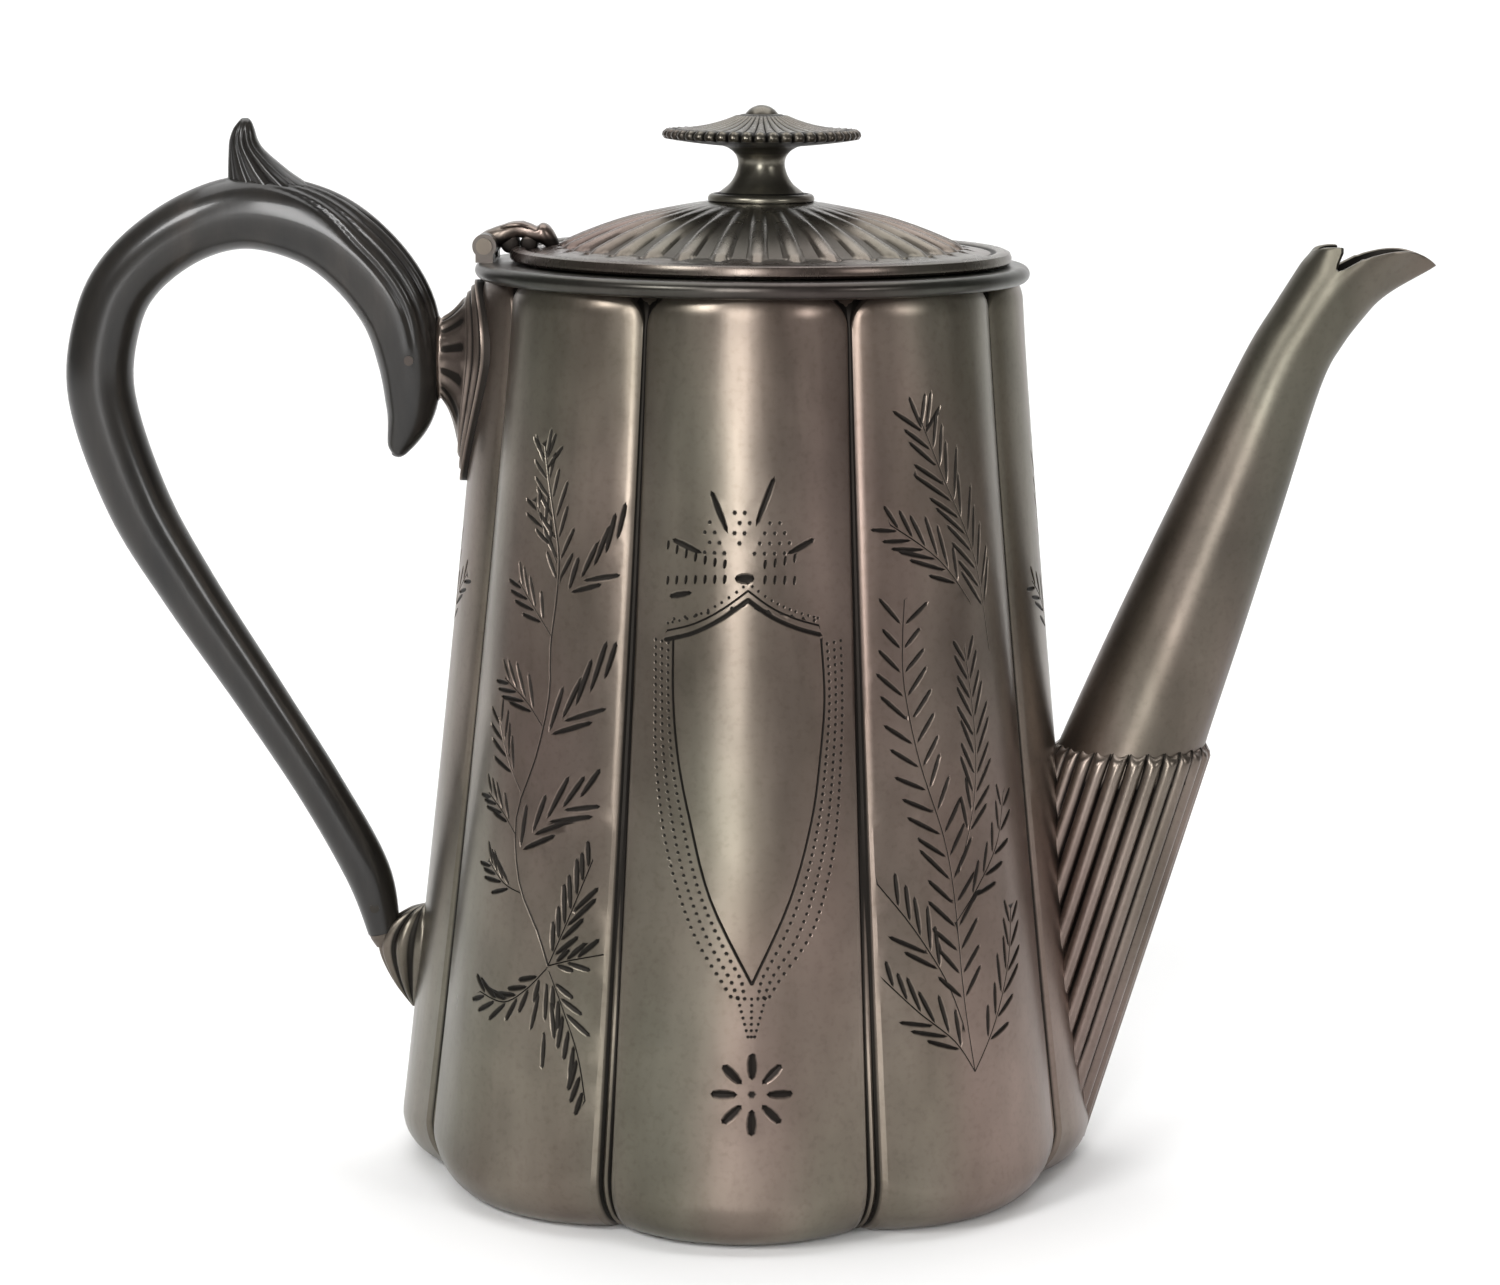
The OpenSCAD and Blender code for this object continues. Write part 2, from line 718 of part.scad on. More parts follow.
// The stem: a beaded foot, a waist and a flared top.
module finial_stem() {
    bead_h = 1.4;
    bead_edge = 0.6;
    waist = 0.6; // height of the waist as a share of the stem
    low = stem_foot_r - 1.6;
    swell = [for (t = [0 : 0.1 : 1])
        let (r = t < waist
            ? stem_waist_r + (low - stem_waist_r) * pow(1 - t / waist, 2)
            : stem_waist_r + (stem_top_r - stem_waist_r) * pow((t - waist) / (1 - waist), 2))
        [r, bead_h + t * (stem_h - bead_h)]];
    color(metal)
        translate([lid_shift, 0, lid_top])
            difference() {
                rotate_extrude()
                    polygon(concat([[0, 0], [stem_foot_r, 0], [stem_foot_r, bead_h * 0.6],
                        [stem_foot_r - bead_edge, bead_h]], swell, [[0, stem_h]]));
                translate([0, 0, -past])
                    cylinder(h = stem_h + 2 * past, r = hole_r);
            }
}

// The cap: a wide shallow umbrella with a thin edge.
module finial_cap() {
    edge_z = 1;
    edge_t = 1;
    slope = [[0.8, 0.62], [0.55, 0.76], [0.3, 0.92]]; // shares of the cap's radius and height
    color(metal)
        translate([lid_shift, 0, cap_z])
            difference() {
                rotate_extrude()
                    polygon(concat([[0, 0], [stem_top_r, 0], [cap_r - 1, edge_z],
                        [cap_r, edge_z + edge_t / 2], [cap_r - 0.4, edge_z + edge_t]],
                        [for (s = slope) [s[0] * cap_r, s[1] * cap_h]], [[button_r, cap_h], [0, cap_h]]));
                translate([0, 0, -past])
                    cylinder(h = cap_h + 2 * past, r = hole_r);
            }
}

module finial_screw() {
    screw_end = 1; // length of screw below the nut
    button_round = (button_r * button_r + button_h * button_h) / (2 * button_h);
    color(dark_metal)
        translate([lid_shift, 0, 0]) {
            translate([0, 0, nut_z - screw_end])
                cylinder(h = button_z - nut_z + screw_end, r = screw_r);
            intersection() {
                translate([0, 0, button_z + button_h - button_round])
                    sphere(button_round);
                translate([0, 0, button_z])
                    cylinder(h = 2 * button_h, r = button_r);
            }
        }
}

module finial_washer() {
    color(dark_metal)
        translate([lid_shift, 0, nut_z + nut_t])
            difference() {
                cylinder(h = washer_t, r = washer_r);
                translate([0, 0, -past])
                    cylinder(h = washer_t + 2 * past, r = hole_r);
            }
}

module finial_nut() {
    color(dark_metal)
        translate([lid_shift, 0, nut_z])
            difference() {
                cylinder(h = nut_t, r = nut_flats / 2 / cos(30), $fn = 6);
                translate([0, 0, -past])
                    cylinder(h = nut_t + 2 * past, r = screw_r);
            }
}

body_shell();
base_plate();
rim_moulding();
lid_seat_ring();
spout_base();
spout_tube();
handle_socket_upper();
handle_socket_lower();
handle();
handle_pin_upper();
handle_pin_lower();
hinge_body_leaf();
hinge_pin();
hinge_lid_leaf();
lid_dome();
lid_bezel();
finial_stem();
finial_cap();
finial_screw();
finial_washer();
finial_nut();
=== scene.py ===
"""Looks of the lobed coffee pot: engraved body, reeded spout, carved handle and fluted lid.

Lengths are in millimetres until a mesh is made. The places come from the CAD frame's boxes.
"""

import json
import math
import random

import bmesh
import bpy
import numpy as np
from numpy import cos, sin
from numpy.linalg import norm
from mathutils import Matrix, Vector, geometry


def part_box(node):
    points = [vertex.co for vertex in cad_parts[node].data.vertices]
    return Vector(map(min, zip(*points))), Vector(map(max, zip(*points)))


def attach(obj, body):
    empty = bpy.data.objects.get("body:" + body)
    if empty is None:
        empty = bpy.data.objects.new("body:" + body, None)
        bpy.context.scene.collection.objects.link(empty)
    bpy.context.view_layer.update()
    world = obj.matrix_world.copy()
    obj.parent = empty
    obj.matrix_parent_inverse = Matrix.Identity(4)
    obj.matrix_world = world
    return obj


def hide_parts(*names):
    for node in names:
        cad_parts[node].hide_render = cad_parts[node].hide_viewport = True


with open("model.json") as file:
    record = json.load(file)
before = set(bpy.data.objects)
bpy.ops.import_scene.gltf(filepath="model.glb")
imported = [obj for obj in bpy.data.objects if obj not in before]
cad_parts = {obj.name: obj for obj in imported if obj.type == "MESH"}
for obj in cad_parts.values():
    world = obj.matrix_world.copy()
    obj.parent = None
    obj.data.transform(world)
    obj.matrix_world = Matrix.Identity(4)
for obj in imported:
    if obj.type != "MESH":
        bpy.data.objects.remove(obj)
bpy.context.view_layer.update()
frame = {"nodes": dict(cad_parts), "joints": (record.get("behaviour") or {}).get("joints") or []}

MM = 0.001
TAU = 2 * math.pi


def span(node):
    """Lowest and highest corner of a CAD node, in millimetres."""
    lo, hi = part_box(node)
    return np.array(lo) / MM, np.array(hi) / MM


RIM_HI = span("rim_moulding")[1]
BASE_HI = span("spout_base")[1]
DOME_LO, DOME_HI = span("lid_dome")
STEM_LO, STEM_HI = span("finial_stem")
CAP_LO, CAP_HI = span("finial_cap")

# Body
BODY_H = span("body_shell")[1][2]
RIM_PROUD = 1.2
RIM_R = RIM_HI[1] - RIM_PROUD
SPREAD = 16.6
FOOT_R = RIM_R + SPREAD  # crest radius carried down to the table
FLARE = 1.15  # above 1, the sides sweep out towards the foot
FLOOR_R = 50.0
WALL = 1.4
LOBES = 8
HALF_LOBE = math.pi / LOBES
SHEET_R = 58.0  # radius at which a panel is laid out flat
HALF_U = HALF_LOBE * SHEET_R
GROOVE_DEPTH = 3.6  # at the rim
ARCH_H = 5.5  # height of the rounded shoulder at the top of each lobe
CREST_CORNER = 8.0
GROOVE_CORNER = 11.5

# Lid
LID_X = (DOME_LO[0] + DOME_HI[0]) / 2
FLANGE_R = DOME_HI[1]
FLANGE_Z = DOME_LO[2]
FLANGE_T = 1.9
BRIM_Z = FLANGE_Z + FLANGE_T
DOME_R = FLANGE_R - 8.3
DOME_Z = BRIM_Z + 0.9
SCREW_HOLE_R = 1.6
LID_TOP = STEM_LO[2]
DOME_RISE = 8.8
SPHERE_R = (DOME_R ** 2 + DOME_RISE ** 2) / (2 * DOME_RISE)

# Spout
JOINT_Z = BASE_HI[2]
BASE_R = BASE_HI[1]
LEAN = math.radians(16.5)
SPOUT_REACH = 54.0  # from the joint's axis to the tip
JOINT_X = span("spout_tube")[1][0] - SPOUT_REACH

# Handle
SOCKET_Z = 150.8
HANDLE_LOW_Z = 41.6
SEAT_X = -58.12


# ---- mesh helpers
stack = np.column_stack


def unit(x):
    return np.clip(x, 0, 1)


def smooth(x):
    x = unit(x)
    return x * x * (3 - 2 * x)


def link(name, data):
    thing = bpy.data.objects.new(name, data)
    bpy.context.scene.collection.objects.link(thing)
    return thing


def tidy(mesh, weld):
    """Turns all faces outwards, and with weld joins doubled points first."""
    bm = bmesh.new()
    bm.from_mesh(mesh)
    if weld:
        bmesh.ops.remove_doubles(bm, verts=bm.verts, dist=1e-6)
        bmesh.ops.dissolve_degenerate(bm, edges=bm.edges, dist=1e-7)
    bmesh.ops.recalc_face_normals(bm, faces=bm.faces)
    bm.to_mesh(mesh)
    bm.free()


def shade(mesh, material, sharp):
    """Smooth shading with creases at edges over sharp degrees."""
    mesh.polygons.foreach_set("use_smooth", [True] * len(mesh.polygons))
    mesh.set_sharp_from_angle(angle=math.radians(sharp))
    mesh.materials.append(material)


def make(name, skin, body, material, replaces, sharp, dark):
    """A piece from a skin, which is points in millimetres and faces. dark holds arrays that
    together give a value per point, 1 in a dark recess, kept as the cut value: dirt in engraved
    strokes and painted shade in grooves, hollows and under parts."""
    mesh = bpy.data.meshes.new(name)
    mesh.from_pydata((skin[0] * MM).tolist(), [], skin[1])
    layer = mesh.attributes.new("cut", "FLOAT", "POINT")
    layer.data.foreach_set("value", np.concatenate(dark).astype(np.float32))
    tidy(mesh, True)
    shade(mesh, material, sharp)
    piece = link(name, mesh)
    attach(piece, body)
    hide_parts(*replaces)
    return piece


def band(n, i, j, offset=0):
    """Quads between ring i and ring j of n points."""
    return [(offset + i * n + k, offset + i * n + (k + 1) % n,
             offset + j * n + (k + 1) % n, offset + j * n + k) for k in range(n)]


def loft(rings, ends=True, closed=False):
    """Points and faces of a skin over rings with the same number of points."""
    rings = [np.asarray(r, float) for r in rings]
    n = len(rings[0])
    m = len(rings)
    faces = [f for i in range(m - 1) for f in band(n, i, i + 1)]
    if closed:
        faces += band(n, m - 1, 0)
    elif ends:
        faces += [tuple(range(n - 1, -1, -1)), tuple((m - 1) * n + k for k in range(n))]
    return np.vstack(rings), faces


def spline(points, steps):
    """Catmull-Rom curve through the rows of points, with steps parts to a span."""
    p = np.asarray(points, float)
    last = len(p) - 1
    out = []
    for i in range(last):
        a, b, c, d = p[max(i - 1, 0)], p[i], p[i + 1], p[min(i + 2, last)]
        for s in range(steps):
            t = s / steps
            out.append(b + (c - a) * t / 2 + (2 * a - 5 * b + 4 * c - d) * t * t / 2
                       + (3 * b - a - 3 * c + d) * t ** 3 / 2)
    out.append(p[last])
    return np.array(out)


def angles(n):
    return np.arange(n) * TAU / n


def ribs(a, count):
    """Place across each of count equal ribs round a ring, from -1 to 1."""
    return ((a * count / TAU) % 1) * 2 - 1


def turned(a):
    """Degrees from the start of a ring, the same on both sides."""
    return np.degrees(np.arccos(cos(a)))


def around(a, r, z, x=0.0):
    """Points at angles a, radius r and height z about the upright axis at x."""
    return stack([x + r * cos(a), r * sin(a), z + 0 * a])


def lathe_rings(profile, n, x=0.0):
    """Rings about the upright axis at x, one to each (radius, height) of the profile."""
    return [around(angles(n), r, z, x) for r, z in profile]


# ---- materials
WHITE = (1.0, 1.0, 1.0)
BLACK = (0.0, 0.0, 0.0)


def set_input(node, name, value):
    node.inputs[name].default_value = value


class Nodes:
    """A node tree with short calls for adding and joining nodes."""

    def __init__(self, name):
        self.material = bpy.data.materials.new(name)
        self.material.use_nodes = True
        self.tree = self.material.node_tree
        self.shader = self.tree.nodes["Principled BSDF"]

    def add(self, kind, **values):
        node = self.tree.nodes.new(kind)
        for key, value in values.items():
            setattr(node, key, value)
        return node

    def join(self, a, b):
        self.tree.links.new(a, b)

    def noise(self, scale, detail, coords, stretch=(1, 1, 1), roughness=0.5):
        mapping = self.add("ShaderNodeMapping")
        set_input(mapping, "Scale", stretch)
        self.join(coords, mapping.inputs["Vector"])
        node = self.add("ShaderNodeTexNoise")
        set_input(node, "Scale", scale)
        set_input(node, "Detail", detail)
        set_input(node, "Roughness", roughness)
        self.join(mapping.outputs["Vector"], node.inputs["Vector"])
        return node.outputs["Fac"]

    def ramp(self, fac, stops):
        node = self.add("ShaderNodeValToRGB")
        elements = node.color_ramp.elements
        while len(elements) < len(stops):
            elements.new(0.5)
        for element, (place, colour) in zip(elements, stops):
            element.position = place
            element.color = (*colour, 1)
        self.join(fac, node.inputs["Fac"])
        return node.outputs["Color"]

    def put(self, socket, value):
        """Joins the value to the socket, or sets the socket to it."""
        if isinstance(value, tuple):
            socket.default_value = (*value, 1)
        elif isinstance(value, (float, int)):
            socket.default_value = value
        else:
            self.join(value, socket)

    def mix(self, fac, a, b, mode="MIX"):
        node = self.add("ShaderNodeMix", data_type="RGBA", blend_type=mode)
        for place, value in ((0, fac), (6, a), (7, b)):
            self.put(node.inputs[place], value)
        return node.outputs[2]

    def stain(self, colour, fac, stops):
        """The colour multiplied by a ramp over fac."""
        return self.mix(1.0, colour, self.ramp(fac, stops), "MULTIPLY")

    def math(self, operation, a, b):
        node = self.add("ShaderNodeMath", operation=operation)
        self.put(node.inputs[0], a)
        self.put(node.inputs[1], b)
        return node.outputs["Value"]

    def weighted(self, base, *terms):
        """The base plus each value times its weight."""
        for value, weight in terms:
            base = self.math("ADD", base, self.math("MULTIPLY", value, weight))
        return base

    def bump(self, height, strength, distance):
        node = self.add("ShaderNodeBump")
        set_input(node, "Strength", strength)
        set_input(node, "Distance", distance)
        self.join(height, node.inputs["Height"])
        self.join(node.outputs["Normal"], self.shader.inputs["Normal"])


def worn_metal(name, bright, dull, recess, rough, metallic=0.9, blotch=14.0):
    """Tarnished pewter: cloudy colour, fine wiping marks, and dark where the cut value is high, as dirt in
    engraved strokes and as painted shade in grooves, hollows and under parts.
    """
    m = Nodes(name)
    coords = m.add("ShaderNodeTexCoord").outputs["Object"]
    cloud = m.noise(blotch, 5.0, coords, roughness=0.6)
    speck = m.noise(900.0, 3.0, coords)
    wipe = m.noise(260.0, 4.0, coords, stretch=(1, 1, 0.12))
    colour = m.ramp(cloud, [(0.32, dull), (0.66, bright)])
    smudge = m.noise(70.0, 4.0, coords, stretch=(1, 1, 0.35))
    tint = m.noise(26.0, 2.0, coords, stretch=(1, 1, 0.3))
    colour = m.stain(colour, speck, [(0.25, (0.88, 0.87, 0.86)), (0.5, WHITE)])
    colour = m.stain(colour, smudge, [(0.3, (0.70, 0.69, 0.67)), (0.62, WHITE)])
    colour = m.stain(colour, tint, [(0.36, (0.90, 1.0, 0.91)), (0.64, (1.0, 0.91, 0.90))])
    cut = m.add("ShaderNodeAttribute", attribute_name="cut").outputs["Fac"]
    # Dark where the cut value is high: dirt in engraved strokes, painted shade in grooves, hollows and under
    # parts.
    dirt_and_shade = m.ramp(cut, [(0.06, BLACK), (0.42, (0.93, 0.93, 0.93))])
    colour = m.mix(dirt_and_shade, colour, recess)
    m.join(colour, m.shader.inputs["Base Color"])
    set_input(m.shader, "Metallic", metallic)
    roughness = m.weighted(rough - 0.10, (wipe, 0.16), (cloud, 0.06), (dirt_and_shade, 0.25))
    m.join(roughness, m.shader.inputs["Roughness"])
    m.bump(m.weighted(cloud, (wipe, 0.5)), 0.25, 0.0002)
    return m.material


def ebonised_wood(name):
    """Black-stained carved wood under a worn polish, with fine grain and small dents."""
    m = Nodes(name)
    coords = m.add("ShaderNodeTexCoord").outputs["Object"]
    grain = m.noise(120.0, 6.0, coords, stretch=(1, 1, 0.18), roughness=0.65)
    cloud = m.noise(35.0, 3.0, coords)
    colour = m.ramp(grain, [(0.3, (0.007, 0.0065, 0.006)), (0.6, (0.016, 0.014, 0.012)),
                            (0.8, (0.032, 0.026, 0.022))])
    # Painted shade: the cut value darkens the carved veins.
    cut = m.add("ShaderNodeAttribute", attribute_name="cut").outputs["Fac"]
    colour = m.mix(cut, colour, (0.006, 0.005, 0.005))
    m.join(colour, m.shader.inputs["Base Color"])
    roughness = m.weighted(0.22, (cloud, 0.16), (cut, 0.2))
    m.join(roughness, m.shader.inputs["Roughness"])
    set_input(m.shader, "Coat Weight", 0.3)
    set_input(m.shader, "Coat Roughness", 0.12)
    set_input(m.shader, "Specular IOR Level", 0.3)
    m.bump(m.weighted(grain, (cloud, 0.6)), 0.35, 0.0002)
    return m.material


SHEET = worn_metal("sheet_pewter", (0.245, 0.203, 0.175), (0.135, 0.113, 0.098), (0.010, 0.009, 0.008), 0.31)
# spout_pewter is the sheet pewter made darker as painted shade on the spout.
TUBE = worn_metal("spout_pewter", (0.175, 0.146, 0.126), (0.100, 0.084, 0.074), (0.010, 0.009, 0.008), 0.38)
CAST = worn_metal("cast_pewter", (0.235, 0.198, 0.176), (0.140, 0.118, 0.105), (0.008, 0.007, 0.006), 0.30)
LID = worn_metal("lid_pewter", (0.165, 0.136, 0.122), (0.090, 0.074, 0.068), (0.008, 0.007, 0.006), 0.27)
# rim_pewter is pewter made much darker as painted shade, for the rim under the lid's flange and the hinge
# leaf under the strap.
DARK = worn_metal("rim_pewter", (0.085, 0.077, 0.072), (0.045, 0.041, 0.039), (0.008, 0.007, 0.007), 0.30)
INNER = worn_metal("inner_pewter", (0.12, 0.112, 0.105), (0.07, 0.065, 0.06), (0.01, 0.009, 0.008), 0.5)
BRASSY = worn_metal("fastener_metal", (0.16, 0.14, 0.12), (0.09, 0.08, 0.07), (0.01, 0.009, 0.008), 0.42)
PIN = worn_metal("pin_metal", (0.05, 0.045, 0.04), (0.03, 0.027, 0.025), (0.01, 0.01, 0.01), 0.4)
WOOD = ebonised_wood("blackened_wood")


# ---- body shape
def crest(z):
    return RIM_R + (FOOT_R - RIM_R) * (1 - unit(z / BODY_H)) ** FLARE


def lobe_radius(phi, z):
    """Distance from the axis to a lobe's plain surface, phi from its crest."""
    groove = GROOVE_DEPTH - (1 - z / BODY_H)
    c = crest(z)
    g = c - groove
    bulge = c - g * cos(HALF_LOBE)
    rho = (bulge ** 2 + (g * sin(HALF_LOBE)) ** 2) / (2 * bulge)
    d = c - rho
    return d * cos(phi) + np.sqrt(rho ** 2 - (d * sin(phi)) ** 2)


def shoulder_arch(v):
    """0 below the shoulder, rising to 1 at the rim."""
    return unit((v - (BODY_H - ARCH_H)) / ARCH_H)


def channel(u, v):
    """Depth below the lobe, and painted shade in the narrow channel between two lobes, left off its bead at
    the foot.
    """
    e = (HALF_U - np.abs(u)) * crest(v) / SHEET_R
    low = 1 - v / BODY_H
    width = channel_width(v)
    depth = 0.5 + 0.6 * low + 1.3 * shoulder_arch(v)
    t = unit(e / width)
    wall = depth * (1 - t ** 4)
    bead = (1.0 * unit(low * 2.2 - 1.15)) * unit(1 - e / (0.5 + 0.3 * low)) ** 0.7
    shoulder = 0.25 * unit(1 - (e - width) / 1.2) ** 2 * (e >= width)
    dark = smooth((1 - t) * 2.2) * (1 - smooth(bead * 2.5)) * 0.95
    return np.maximum(wall - bead, 0) + shoulder, dark


def channel_width(v):
    low = 1 - v / BODY_H
    return 0.5 + 1.15 * low + 3.7 * shoulder_arch(v) ** 2.4


def surface(u, v, angle, depth=0.0):
    """Point of the body at (u, v) on the flat panel, depth millimetres below its surface."""
    phi = u / SHEET_R
    edge = np.abs(phi) / HALF_LOBE
    corner = CREST_CORNER + (GROOVE_CORNER - CREST_CORNER) * edge ** 2
    z = np.maximum(v, corner)
    turn = unit(1 - v / corner) * math.pi / 2
    wave = 0.06 * sin(u * 0.31 + angle * 1.7) * sin(v * 0.083 + angle * 2.3)
    roll = 0.9 * unit((v - (BODY_H - 3.4)) / 3.4) ** 2
    r = lobe_radius(phi, z) - roll + wave * smooth((1 - edge) * 3) - 0.06
    inward = corner * (1 - cos(turn)) + depth * cos(turn)
    height = np.where(turn > 0, corner * (1 - sin(turn)) + depth * sin(turn), v)
    r = r - inward
    a = angle + phi
    return around(a, r, height)


# ---- engraving
class Engraving:
    """Strokes on one panel. A stroke is drawn with a, the distance along the surface from the
    crest (to the right as seen from outside), and z, the height."""

    def __init__(self, seed):
        self.random = random.Random(seed)
        self.strokes = []
        self.lines = []
        self.dots = []

    def stroke(self, p, q, width=1.1, depth=0.32):
        self.strokes.append((p, q, width, depth))

    def line(self, points, width=0.4, depth=0.16, steps=5):
        self.lines.append((spline(points, steps), width, depth))

    def dot(self, p, size=0.48, depth=0.2):
        self.dots.append((p, size, depth))

    def leaves(self, points, count, length, angle=30, sides=(-1, 1), width=1.1, first=0.06, last=0.97):
        """Leaf strokes in pairs along a curve, longest in its middle."""
        path = spline(points, 8)
        step = norm(np.diff(path, axis=0), axis=1)
        along = np.concatenate([[0], np.cumsum(step)])
        for k in range(count):
            t = first + (last - first) * (k + 0.5) / count
            place = t * along[-1]
            at = np.array([np.interp(place, along, path[:, i]) for i in (0, 1)])
            ahead = np.array([np.interp(place + 1.0, along, path[:, i]) for i in (0, 1)])
            if place + 1.0 > along[-1]:
                ahead = at + (path[-1] - path[-2])
            way = (ahead - at) / max(norm(ahead - at), 1e-6)
            swell = 0.7 + 0.3 * sin(math.pi * min(t * 1.15, 1))
            size = length * swell * self.random.uniform(0.85, 1.1)
            for side in sides:
                turn = math.radians(angle * side * -1 + self.random.uniform(-5, 5))
                c, s = cos(turn), sin(turn)
                out = np.array([way[0] * c - way[1] * s, way[0] * s + way[1] * c])
                start = at + out * 0.5
                self.stroke(tuple(start), tuple(start + out * size), width)

    def spray(self, points, count, length, rib=0.3, first=0.13, **kind):
        if rib:
            self.line(points, rib, 0.14)
        self.leaves(points, max(3, round(count * 0.72)), length * 1.5, first=first, **kind)

    def sprays(self, rows, **kind):
        for points, count, length in rows:
            self.spray(points, count, length, **kind)


RAYS = (((-2.9, 126), (-6, 133.4)), ((1.9, 127.2), (5.2, 136)), ((-7.4, 122.4), (-13.2, 124.6)),
        ((7.4, 122.4), (12.6, 124.9)), ((-9.2, 115.6), (-13.6, 114.6)))


def shield_panel():
    e = Engraving(4)
    for p, q in RAYS:
        e.stroke(p, q, 1.5, 0.42)
    e.stroke((-1.7, 118.3), (1.8, 118.3), 2.1, 0.5)
    for k in range(14):
        a = -14 + 1.75 * k
        for z in (119.7 + 0.015 * a * a, 117.3 - 0.004 * a * a):
            if abs(a) > 2.6:
                e.stroke((a, z), (a + 0.2, z + 1.7), 0.8, 0.24)
    for row in range(6):
        for k in range(9):
            a = (k - 4 + 0.5 * (row % 2)) * 1.75
            z = 122.6 + 1.75 * row
            clear = min(abs(a - p[0] - (q[0] - p[0]) * (z - p[1]) / (q[1] - p[1])) for p, q in RAYS[:2])
            if 0.22 * abs(a) < 3.1 - 0.3 * row and clear > 1.1 and z < 131.5 - 0.5 * abs(a):
                e.dot((a, z), 0.5)
    for k in range(13):
        a = -12.6 + 2.1 * k
        e.dot((a, 113.6 - 0.22 * abs(a)), 0.42)
    left = [(-14.2, 107.1), (-9, 108.6), (-4, 111.2), (0.7, 114.6)]
    right = [(0.7, 114.6), (5, 111.6), (9.4, 109.6), (13.7, 108.3)]
    for side in (left, right):
        e.line(side, 1.05, 0.34)
        e.line([(a * 0.98, z + 1.6) for a, z in side], 0.45, 0.18)
        path = spline(side, 4)
        for a, z in path:
            e.dot((a * 0.97, z + 2.9), 0.36)
    inner = {-1: [(-12.7, 107), (-12.6, 97), (-11.5, 86.5), (-9.2, 76), (-5.4, 62.5), (2, 48)],
             1: [(14, 107), (14.7, 97), (13.9, 86.5), (12.4, 76), (8.6, 62.5), (2, 48)]}
    outer = {-1: [(-16.3, 107), (-16.2, 97), (-16, 86), (-13.8, 71), (-9, 57), (-3.5, 48), (2, 40)],
             1: [(18, 107), (18.4, 97), (18.2, 86), (17, 71), (13.2, 57), (6.9, 48), (2, 40)]}
    for side in (-1, 1):
        e.line(inner[side], 0.6, 0.24)
        inside = spline(inner[side], 6)
        outside = spline(outer[side], 6)
        for k in range(48):
            z = 106.5 - 1.3 * k
            p = np.interp(-z, -inside[:, 1], inside[:, 0])
            q = np.interp(-z, -outside[:, 1], outside[:, 0])
            if z < 49:
                p = 2 + 0.3 * side
            for share in (0.27, 0.62, 0.97):
                if abs(q - p) > 1.0:
                    e.dot((p + (q - p) * share, z + 0.5 * share), 0.43, 0.2)
    for k in range(7):
        for shift in (-1, 0, 1):
            e.dot((2 + shift * (2.4 - 0.3 * k), 45.5 - 1.1 * k), 0.36)
    flower = np.array([2.2, 28.8])
    e.dot(tuple(flower), 0.85, 0.35)
    for turn in angles(8):
        way = np.array([cos(turn), sin(turn)])
        e.stroke(tuple(flower + 2.5 * way), tuple(flower + 7.3 * way), 1.9, 0.5)
    return e


def left_spray_panel(seed=11):
    e = Engraving(seed)
    stem = [(11, 48), (8, 54), (3, 62), (1, 73), (4.5, 84), (6.5, 95), (6, 104), (6.5, 112), (6.5, 119.5),
            (5, 126), (3, 133), (1.5, 139)]
    e.line(stem, 0.5, 0.2, 3)
    e.leaves(stem[7:], 7, 7.2)
    for p, q in (((1.6, 136), (-1.2, 141)), ((2, 137), (2.9, 142.5)), ((2.2, 135), (5.8, 139.5))):
        e.stroke(p, q)
    e.sprays((([(6.5, 110), (9, 114), (15, 120), (20.5, 127.5)], 8, 5.5),
               ([(4.6, 84), (7, 88.6), (14, 95.5), (21.4, 103)], 9, 6.5),
               ([(1.6, 62), (2.7, 67.5), (10, 75), (20, 81)], 9, 6.0)), rib=0, width=1.35, angle=27)
    e.sprays((([(11, 48), (14, 56), (18, 67.5)], 10, 5.0),
               ([(11, 48), (15.5, 49.5), (21.5, 51)], 7, 3.4),
               ([(11.3, 47), (14.6, 41), (18.4, 33), (20.6, 25)], 11, 4.4),
               ([(10.7, 47.4), (6.5, 43), (1.5, 40), (-5.5, 40.5)], 9, 4.2)), first=0.02, width=1.3, angle=28)
    for p, q in (((11, 45.5), (11.3, 38)), ((12.2, 42), (13.6, 35)), ((9.6, 43), (8.4, 36)),
                 ((11.4, 36.5), (11.6, 29.5))):
        e.stroke(p, q)
    e.sprays((([(6, 119), (3, 124), (0, 129)], 4, 3.6),
               ([(6, 106), (2, 110), (-3, 114.5)], 5, 4.2),
               ([(5.5, 90), (1, 94), (-5, 97)], 6, 4.6),
               ([(1.5, 78), (-2.5, 83), (-6.5, 90)], 6, 4.4),
               ([(1.2, 70), (-3, 73.5), (-8, 76)], 5, 4.0),
               ([(3.4, 60), (-1, 61), (-6, 64)], 5, 3.8)))
    return e


